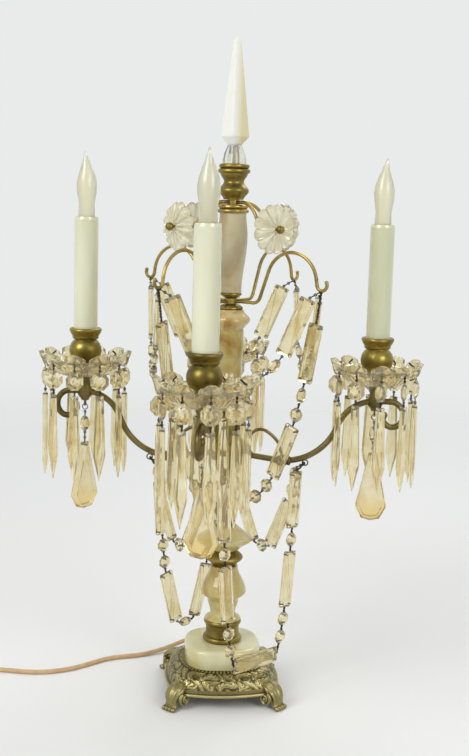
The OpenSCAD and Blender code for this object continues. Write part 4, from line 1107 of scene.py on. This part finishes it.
@dataclass
class CandleCups:
    """Four turned cups that the candle sleeves stand in, with their outlines in millimetres."""

    palette: Palette
    bore_r: float = 5.2
    well_r: float = 13.3
    well_floor: float = 31
    well_top: float = 41.8
    dish_rise: float = 5 * MM
    foot: tuple[Point, ...] = ((9.2, 0), (9.6, 1.0), (9.2, 2.2), (8.4, 3.4), (9.6, 5.0))
    neck: tuple[Point, ...] = (
        (11.9, 30.4), (13.4, 31.0), (14.1, 31.8), (14.2, 33.4), (14.9, 35.2), (16.2, 36.9),
    )

    def outline(self) -> list[Point]:
        """Radius and height along the whole cup, from the foot over the rim and down the well."""
        belly = arc((5.2, 18.5), (12.3, 13.6), -62, 118, 12)
        rim = arc((15.3, 40.4), (2.2, 2.4), -50, 180, 8)
        well = [(self.well_r, self.well_top), (self.well_r, self.well_floor), (self.bore_r, self.well_floor)]
        return [(self.bore_r, 0), *self.foot, *belly, *self.neck, *rim, *well, (self.bore_r, 0)]

    def build(self) -> None:
        """Make and dress the four."""
        outline = [(r * MM, z * MM) for r, z in self.outline()]
        shape = as_mesh(turned(outline, 64), "cup", sharp=40)
        piece = Piece("candle_cups_turned")
        for arm in Arm:
            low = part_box(f"bobeche_{arm.side}")[0][2] + self.dish_rise
            piece.add(shape, arm.frame_at(low))
        piece.finish(self.palette.brass, "stand", "old_brass", ("candle_cups",))


@dataclass
class BaseCasting:
    """Footed base: bowed square dome chased with leaves, on four scrolled paws."""

    palette: Palette
    half_w: float = 63 * MM
    corner_r: float = 79 * MM
    bow_r: float = 150 * MM
    corner_blend: float = 2.5 * MM
    rim_z: float = 14 * MM
    rim_h: float = 3.4 * MM
    rim_round: float = 1.4 * MM
    rim_step: float = 3 * MM
    wall: float = 4 * MM
    top_z: float = 36 * MM
    inner_r: float = 12 * MM
    table_r: float = 43 * MM
    leaves: int = 26
    leaf_rows: int = 2
    leaf_band: Point = (0.08, 0.82)
    flutes: int = 72
    flutes_from: float = 0.86
    relief: float = 0.65 * MM
    rows: int = 42
    plain_wear: float = 0.45
    # Dark patina and painted shade in the groove between the leaves and the flutes.
    groove_patina_and_shade: float = 0.1
    # Rubbed brass and a painted highlight along the rim.
    rim_wear_and_highlight: float = 0.85
    paw_wear: float = 0.6
    # Distance out, height, half width and half depth in millimetres, from the knee to the toes
    leg: tuple[tuple[float, float, float, float], ...] = (
        (64, 24, 8, 4), (71, 22, 9.5, 5.5), (76.5, 18.5, 9, 5.6), (79.5, 14, 7.6, 5),
        (80, 9.5, 6.4, 4.6), (80.5, 6, 6.6, 4.6), (82, 3.4, 7.6, 3.2), (83.5, 1.8, 8, 1.6),
    )
    scroll_x: float = 71 * MM
    scroll_z: float = 11.5 * MM
    scroll_turns: float = 1.7
    scroll_r: Point = (6.6 * MM, 1.6 * MM)
    scroll_thick: Point = (2 * MM, 1.3 * MM)
    scroll_y: Point = (8.6 * MM, 11 * MM)
    knob_r: float = 2.2 * MM
    knob_y: float = 11.2 * MM
    toes: int = 4
    toe_r: float = 2.6 * MM
    toe_step: float = 4.2 * MM
    toe_place: Point = (84 * MM, 2.7 * MM)

    def edge(self, angle: float) -> float:
        """Distance of the rim from the axis at an angle from the middle of a side."""
        quarter = pi / 2
        off = (angle + quarter / 2) % quarter - quarter / 2
        centre = self.bow_r - self.half_w
        side = sqrt(self.bow_r**2 - (centre * sin(off)) ** 2) - centre * cos(off)
        gap = max(0.0, 1 - abs(side - self.corner_r) / self.corner_blend)
        return min(side, self.corner_r) - self.corner_blend * gap * gap / 4

    def leaf(self, angle: float, share: float) -> float:
        """Relief of the leaves from 0 to 1, which also sets their colour: painted highlight and rubbing on
        the ridges, patina and painted shade between them; angle round the base, share from rim to table.
        """
        row = share * self.leaf_rows
        sway = 0.45 * sin(7 * angle + FULL_TURN * share) + 0.2 * sin(19 * angle)
        place = angle * self.leaves / FULL_TURN + 0.5 * (int(row) % 2) + sway
        across = 2 * abs(place % 1 - 0.5)
        along = row % 1
        inside = 1 - across / sin(pi * (0.15 + 0.75 * along)) ** 0.6
        # Patina and painted shade between the leaves; a painted highlight with rubbing on each midrib.
        if inside <= 0:
            return 0.15
        if across < 0.1:
            return 0.95
        veins = 0.5 + 0.5 * cos(FULL_TURN * (4 * along - 1.9 * across))
        return 0.25 + 0.6 * veins * min(1.0, 4 * inside)

    def chased(self, angle: float, share: float) -> float:
        """Rubbing, patina and painted highlight and shade on the dome's top side: leaves, a groove and
        flutes, with share from rim to table.
        """
        # Flutes: painted highlights on their crowns, painted shade between them.
        if share > self.flutes_from:
            return 0.5 + 0.5 * cos(self.flutes * angle)
        if share > self.leaf_band[1]:
            return self.groove_patina_and_shade
        if share > self.leaf_band[0]:
            return self.leaf(angle, (share - self.leaf_band[0]) / (self.leaf_band[1] - self.leaf_band[0]))
        return self.plain_wear

    def dome(self) -> Shape:
        """The hollow dome with its rim, flutes and leaves; values of rubbing with painted highlight and shade
        are kept on its points.
        """
        far, base_z = self.corner_r, self.rim_z + self.rim_h
        start = far - self.rim_step
        outline = [(self.inner_r, self.top_z - self.wall), (0.62 * far, self.top_z - 1.5 * self.wall)]
        outline += [(far - 1.25 * self.wall, self.rim_z + 0.25 * self.wall), (far - self.wall, self.rim_z)]
        rim = (far - self.rim_round, self.rim_z + self.rim_h / 2)
        outline += arc(rim, (self.rim_round, self.rim_h / 2), -90, 180, 6)
        outline += [(between((start, self.table_r), k / self.rows), base_z) for k in range(self.rows + 1)]
        outline += [(self.inner_r, self.top_z), outline[0]]
        bm = turned(outline, 24 * self.leaves)
        # The "worn" layer holds rubbing with painted highlight and shade.
        worn = bm.verts.layers.float.new("worn")
        for vert in bm.verts:
            r, angle = polar(vert.co)
            edge = self.edge(angle)
            z, lift, wear_and_light = vert.co.z, 0.0, self.plain_wear
            new_r = r + edge - far
            if r < self.table_r:
                new_r = r * (1 + (edge / far - 1) * min(1.0, r / far) ** 2)
            if abs(z - base_z) < MERGE and self.table_r - MERGE < r < start + MERGE:
                share = min(1.0, max(0.0, (start - r) / (start - self.table_r)))
                z = between((base_z, self.top_z), sin(share * pi / 2) ** 0.8)
                new_r = between((edge - self.rim_step, self.table_r), 0.35 * share + 0.65 * share * share)
                wear_and_light = self.chased(angle, share)
                lift = self.relief * (wear_and_light - 0.5)
            elif self.rim_z < z < base_z and r > start:
                wear_and_light = self.rim_wear_and_highlight
            vert.co = around(new_r + 0.5 * lift, angle, z + lift)
            vert[worn] = wear_and_light
        return bm

    def paw(self) -> Shape:
        """One leg outwards along +X: leaf over the knee, toes below and a scroll on each side."""
        bm = bmesh.new()
        bm.from_mesh(as_mesh(self.shin(), "shin", sharp=50))
        balls = []
        for side in (-1, 1):
            bm.from_mesh(as_mesh(self.scroll(side), "scroll", sharp=60))
            balls.append((self.knob_r, shift(self.scroll_x, side * self.knob_y, self.scroll_z)))
        for k in range(self.toes):
            y = (k - (self.toes - 1) / 2) * self.toe_step
            toe = shift(self.toe_place[0], y, self.toe_place[1]) @ Matrix.Diagonal((1.5, 0.9, 1.0, 1.0))
            balls.append((self.toe_r, toe))
        for radius, place in balls:
            bmesh.ops.create_uvsphere(bm, u_segments=12, v_segments=8, radius=radius, matrix=place)
        for face in bm.faces:
            face.smooth = True
        return bm

    def shin(self) -> Shape:
        """The leg's body: ridged sections along a smooth curve through its places."""
        steps, sides = 4, 48
        keys = [Vector(key) * MM for key in self.leg]
        places = [keys[0]]
        for a, b, c, d in zip([keys[0]] + keys, keys, keys[1:], keys[2:] + keys[-1:]):
            for k in range(1, steps + 1):
                t = k / steps
                curve = 2 * a - 5 * b + 4 * c - d
                bend = 3 * b - a - 3 * c + d
                places.append(0.5 * (2 * b + (c - a) * t + curve * t * t + bend * t * t * t))
        sections = []
        for before, here, after in zip(places[:1] + places, places, places[1:] + places[-1:]):
            r, z, wide, deep = here
            along = Vector((after[0] - before[0], 0, after[1] - before[1])).normalized()
            out = Vector((-along.z, 0, along.x))
            section = []
            for k in range(sides):
                a = FULL_TURN * k / sides
                ridge = 1 + 0.09 * cos(9 * a)
                point = Vector((r, wide * sin(a) * ridge, z)) + out * (deep * cos(a) * ridge)
                point.z = max(point.z, 0.05 * MM)
                section.append(point)
            sections.append(section)
        return lofted(sections)

    def scroll(self, side: int) -> Shape:
        """Volute on one side of the leg, -1 or 1 along Y."""
        steps, sides = 36, 10
        ring = [FULL_TURN * k / sides for k in range(sides)]
        sections = []
        for i in range(steps + 1):
            t = i / steps
            a = 0.35 * pi - FULL_TURN * self.scroll_turns * t
            thick = between(self.scroll_thick, t)
            out = Vector((cos(a), 0, sin(a)))
            middle = Vector((self.scroll_x, side * between(self.scroll_y, t), self.scroll_z))
            middle += out * between(self.scroll_r, t)
            flat = Vector((0, 1.6 * thick, 0))
            sections.append([middle + out * thick * cos(b) + flat * sin(b) for b in ring])
        return lofted(sections)

    def build(self) -> None:
        """Make and dress the casting."""
        piece = Piece("base_casting_chased")
        piece.bm.verts.layers.float.new("worn")
        piece.add(as_mesh(self.dome(), "dome", sharp=70), turn(BASE_TURN))
        first = len(piece.bm.verts)
        paw = as_mesh(self.paw(), "paw", sharp=60)
        for k in range(4):
            piece.add(paw, turn(BASE_TURN + pi / 4 + pi / 2 * k))
        worn = piece.bm.verts.layers.float["worn"]
        for vert in piece.bm.verts[first:]:
            vert[worn] = self.paw_wear
        piece.finish(self.palette.casting, "stand", "cast_brass", ("base_casting",))


@dataclass
class OnyxFoot:
    """Rounded onyx block under the column."""

    palette: Palette
    half_w: float = 41 * MM
    corner_r: float = 45.5 * MM
    bore_r: float = 5.3 * MM
    edge: float = 5 * MM
    chamfer: float = 0.6 * MM

    def build(self) -> None:
        """Make and dress the block."""
        low, top = (corner[2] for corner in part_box("onyx_foot"))
        far, edge = self.corner_r, self.edge
        outline = [(self.bore_r, low), (far - self.chamfer, low), (far, low + self.chamfer)]
        outline += arc((far - edge, top - edge), (edge, edge), 0, 90, 8)
        outline += [(self.bore_r, top), (self.bore_r, low)]
        bm = turned(outline, 128)
        for vert in bm.verts:
            r, angle = polar(vert.co)
            if r > 2 * self.bore_r:
                reach = between((self.half_w, far), sin(2 * angle) ** 2)
                vert.co = around(r * reach / far, angle, vert.co.z)
        piece = Piece("onyx_foot_block")
        piece.add(as_mesh(bm, "block", sharp=50), turn(BASE_TURN))
        piece.finish(self.palette.pale_onyx, "stand", "onyx", ("onyx_foot",))


@dataclass
class FinialFoot:
    """Cut crystal foot of the finial, with eight flat sides."""

    palette: Palette
    sides: int = 8
    bore_r: float = 3.4 * MM
    foot_r: float = 12.4 * MM
    widest_r: float = 13 * MM
    middle_r: float = 11.6 * MM
    neck_r: float = 7.8 * MM
    top_r: float = 7.4 * MM
    chamfer: float = 0.6 * MM

    def build(self) -> None:
        """Make and dress the foot."""
        low, top = (corner[2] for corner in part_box("finial_foot"))
        outline = [(self.bore_r, low), (self.foot_r, low), (self.widest_r, between((low, top), 0.12))]
        outline += [(self.middle_r, between((low, top), 0.5)), (self.neck_r, top - self.chamfer)]
        outline += [(self.top_r, top), (self.bore_r, top), (self.bore_r, low)]
        piece = Piece("finial_foot_cut")
        piece.add(as_mesh(turned(outline, self.sides), "foot"), turn(pi / self.sides))
        piece.finish(self.palette.foot_glass, "stand", "clear_crystal", ("finial_foot",))


@dataclass
class Lead:
    """Mains lead from the base over the table to its coil and plug."""

    palette: Palette
    thick: float = 5 * MM
    rest_z: float = 2.6 * MM
    bush_out: float = 85.2 * MM
    bush_z: float = 20 * MM
    coil_x: float = -306 * MM
    coil_y: float = -47 * MM
    coil_turns: float = 7.25
    coil_pitch: float = 5.45 * MM
    coil_inner_r: float = 20 * MM
    coil_tail: float = 36 * MM
    rings: int = 24
    tie_gap: float = 0.4 * MM
    tie_floor: float = 0.05 * MM
    tie_corner: float = 2 * MM
    tie_w: float = 4 * MM
    tie_t: float = 0.3 * MM
    tie_angle: float = radians(215)
    # Places in millimetres from the bush to the straight run before the coil
    route: tuple[Place, ...] = (
        (-25, 99, 19), (-36, 107, 17), (-49, 109, 14), (-60, 105, 11), (-70, 98, 8),
        (-80, 90, 5.5), (-90, 82, 4), (-100, 74, 3), (-111, 67, 2.6), (-123, 61, 2.6),
        (-135, 55, 2.6), (-145, 47, 2.6), (-154, 36, 2.6), (-163, 25, 2.6), (-173, 14, 2.6),
        (-185, 5, 2.6), (-198, -2, 2.6), (-212, -6, 2.6),
    )

    def coil_point(self, turns: float) -> Vector:
        """Place on the coil after some turns."""
        r = self.coil_inner_r + self.coil_pitch * abs(self.coil_turns / 2 - turns)
        climb = min(1.0, max(0.0, (turns - self.coil_turns / 2 + 0.25) / 0.5))
        place = around(r, pi / 2 + FULL_TURN * turns, self.rest_z + self.coil_pitch * climb)
        return place + Vector((self.coil_x, self.coil_y, 0))

    def points(self) -> list[Vector]:
        """The whole line of the lead, from the bush to the plug."""
        heading = Vector((-sin(BASE_TURN), cos(BASE_TURN), 0))
        out = heading * self.bush_out + Vector((0, 0, self.bush_z))
        line = [out, out + heading * self.thick]
        line += [Vector(p) * MM for p in self.route]
        top = self.coil_point(0)
        line += [Vector((x * MM, top.y, self.rest_z)) for x in range(-226, -297, -14)]
        line += [Vector((self.coil_x + self.thick, top.y, self.rest_z))]
        line += [self.coil_point(k / self.rings) for k in range(int(self.coil_turns * self.rings) + 1)]
        end = self.coil_point(self.coil_turns)
        line += [end + Vector((0, -self.coil_tail * k / 3, 0)) for k in (1, 2, 3)]
        return line

    def build(self) -> None:
        """Lay the lead and its tie."""
        line = self.points()
        curve = bpy.data.curves.new("lead", "CURVE")
        curve.dimensions = "3D"
        curve.bevel_depth = self.thick / 2
        curve.bevel_resolution = 3
        curve.use_fill_caps = True
        spline = curve.splines.new("POLY")
        spline.points.add(len(line) - 1)
        for point, place in zip(spline.points, line):
            point.co = (*place, 1.0)
        spline.use_smooth = True
        curve.materials.append(self.palette.lead)
        lead = in_scene("lead", curve)
        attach(lead, "stand")
        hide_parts("cord_run", "cord_coil")
        tie = self.tie()

    def tie(self) -> bpy.types.Object:
        """Paper-covered tie round the turns of the coil."""
        room, corner, floor = self.thick / 2 + self.tie_gap, self.tie_corner, self.tie_floor
        inner = self.coil_inner_r - room
        outer = self.coil_inner_r + self.coil_pitch * self.coil_turns / 2 + room
        top = self.rest_z + self.coil_pitch + room
        loop = [(inner, floor), (outer - corner, floor), (outer, corner), (outer, top - corner)]
        loop += [(outer - corner, top), (inner + corner, top), (inner, top - corner)]
        bm = bmesh.new()
        verts = [bm.verts.new((r, -self.tie_w / 2, z)) for r, z in loop]
        edges = [bm.edges.new((a, b)) for a, b in zip(verts, verts[1:] + verts[:1])]
        move_grown(bm, bmesh.ops.extrude_edge_only(bm, edges=edges), Vector((0, self.tie_w, 0)))
        bmesh.ops.solidify(bm, geom=bm.faces[:], thickness=self.tie_t)
        for vert in bm.verts:
            vert.co.z = max(vert.co.z, 0.02 * MM)
        piece = Piece("coil_tie")
        piece.add(as_mesh(bm, "tie", sharp=50), shift(self.coil_x, self.coil_y, 0) @ turn(self.tie_angle))
        return piece.finish(self.palette.tie, "stand", "lead_cover")


class Column:
    """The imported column, arms and wires, dressed where they stand."""

    def __init__(self, palette: Palette) -> None:
        """Sort the nodes by their finish."""
        knops = ["foot_ring", "ball_knop", "bell_knop", "arm_hub"]
        caps = ["crown_cap", "lower_collar", "rosette_nuts"]
        bright = ["top_collar", "hook_wires", "rosette_wires", "base_nut", "lamp_pipe", "threaded_rod"]
        self.finishes = {
            palette.vase_onyx: ["onyx_vase"],
            palette.onyx: ["onyx_baluster", "onyx_saucer", "onyx_shaft"],
            palette.amber_onyx: ["onyx_ring"],
            palette.brass: knops + caps,
            palette.bright_brass: bright,
            palette.dark_brass: [f"arm_{arm.side}" for arm in Arm],
            palette.spear_glass: ["finial_spear"],
            palette.milk: ["candle_sleeves"],
            palette.black: ["lampholders", "cord_bush", "plug"],
        }

    def build(self) -> None:
        """Dress each node."""
        for material, names in self.finishes.items():
            for name in names:
                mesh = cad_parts[name].data
                mesh.materials.clear()
                mesh.materials.append(material)
        log.info("column: %d nodes dressed", sum(len(names) for names in self.finishes.values()))


@dataclass
class Studio:
    """Camera at the photograph's place, pale floor and soft light."""

    azimuth: float = radians(8.25)
    distance: float = 1.25
    height: float = 0.5365
    yaw: float = radians(-0.28)
    pitch: float = radians(8.52)
    roll: float = radians(1.55)
    focal_px: float = 1180.3
    frame_px: float = 756.0
    sensor: float = 36.0
    far_clip: float = 20.0
    floor: Colour = (0.85, 0.85, 0.845)
    fade_start: float = 0.6
    fade_end: float = 2.4
    sky: Colour = (0.93, 0.945, 0.94)
    sky_strength: float = 0.6
    backdrop: Colour = (0.807, 0.831, 0.823)
    lamps_face: Place = (0, 0, 0.35)
    # Name, place and side in metres, and watts
    lamps: tuple[tuple[str, Place, float, float], ...] = (
        ("key", (-1.3, -1.6, 1.7), 1.2, 25.0),
        ("fill", (1.5, -1.4, 1.2), 1.0, 12.0),
        ("back", (0.4, 1.3, 1.9), 1.2, 12.0),
    )

    def camera(self) -> None:
        """Set the camera up."""
        data = bpy.data.cameras.new("camera")
        data.sensor_width = self.sensor
        data.lens = self.focal_px / self.frame_px * self.sensor
        data.clip_end = self.far_clip
        camera = in_scene("camera", data)
        place = Vector((sin(self.azimuth), -cos(self.azimuth), 0)) * self.distance
        place.z = self.height
        heading = turn(self.azimuth + self.yaw) @ turn(pi / 2 - self.pitch, "X")
        camera.matrix_world = Matrix.Translation(place) @ heading @ turn(self.roll)
        bpy.context.scene.camera = camera

    def lamp(self, name: str, place: Vector, size: float, power: float) -> None:
        """Hang a square soft light, of a side in metres and a power in watts, that faces the lamp."""
        data = bpy.data.lights.new(name, "AREA")
        data.size = size
        data.energy = power
        light = in_scene(name, data)
        aim = Vector(self.lamps_face) - place
        light.matrix_world = Matrix.Translation(place) @ aim.to_track_quat("-Z", "Y").to_matrix().to_4x4()
        light.visible_camera = False

    def ground(self) -> None:
        """Round pale floor that fades into the background."""
        bm = bmesh.new()
        bmesh.ops.create_circle(bm, cap_ends=True, radius=self.fade_end, segments=96)
        mesh = as_mesh(bm, "ground")
        nodes = Nodes("pale_ground")
        nodes.set(Base_Color=(*self.floor, 1.0), Roughness=0.9)
        nodes.set(Alpha=nodes.nearness(self.fade_start, self.fade_end))
        mesh.materials.append(nodes.material)
        ground = in_scene("ground", mesh)

    def world(self) -> None:
        """Pale even light from all round, and the background that the camera, metal and glass see."""
        world = bpy.data.worlds.new("pale_room")
        tree = Tree(world)
        light = tree.nodes["Background"]
        tree.put(light.inputs["Color"], (*self.sky, 1.0))
        tree.put(light.inputs["Strength"], self.sky_strength)
        seen = tree.add("Background", "Background", {"Color": (*self.backdrop, 1.0)})
        share = 0.0
        for kind in ("Is Camera Ray", "Is Glossy Ray", "Is Transmission Ray"):
            values = {0: share, 1: tree.add("LightPath", kind, {})}
            share = tree.add("Math", "Value", values, operation="MAXIMUM")
        mixed = tree.add("MixShader", "Shader", {"Fac": share, 1: light.outputs["Background"], 2: seen})
        tree.put(tree.nodes["World Output"].inputs["Surface"], mixed)
        bpy.context.scene.world = world

    def build(self) -> None:
        """Set up the stage."""
        bpy.context.scene.view_settings.view_transform = "Standard"
        self.world()
        self.ground()
        for name, place, size, power in self.lamps:
            self.lamp(name, Vector(place), size, power)


def main() -> None:
    """Build the lamp's looks in order."""
    logging.basicConfig(level=logging.INFO, format="%(name)s: %(message)s")
    studio = Studio()
    studio.camera()
    palette = Palette()
    Lead(palette).build()
    studio.build()
    Column(palette).build()
    cutter = GlassCutter(palette)
    for arm in Arm:
        CandleLight(arm, cutter).build()
    for kind in (CandleCups, BaseCasting, OnyxFoot, FinialFoot, Rosettes):
        kind(palette).build()
    Swags(cutter).build()


if __name__ == "__main__":
    main()
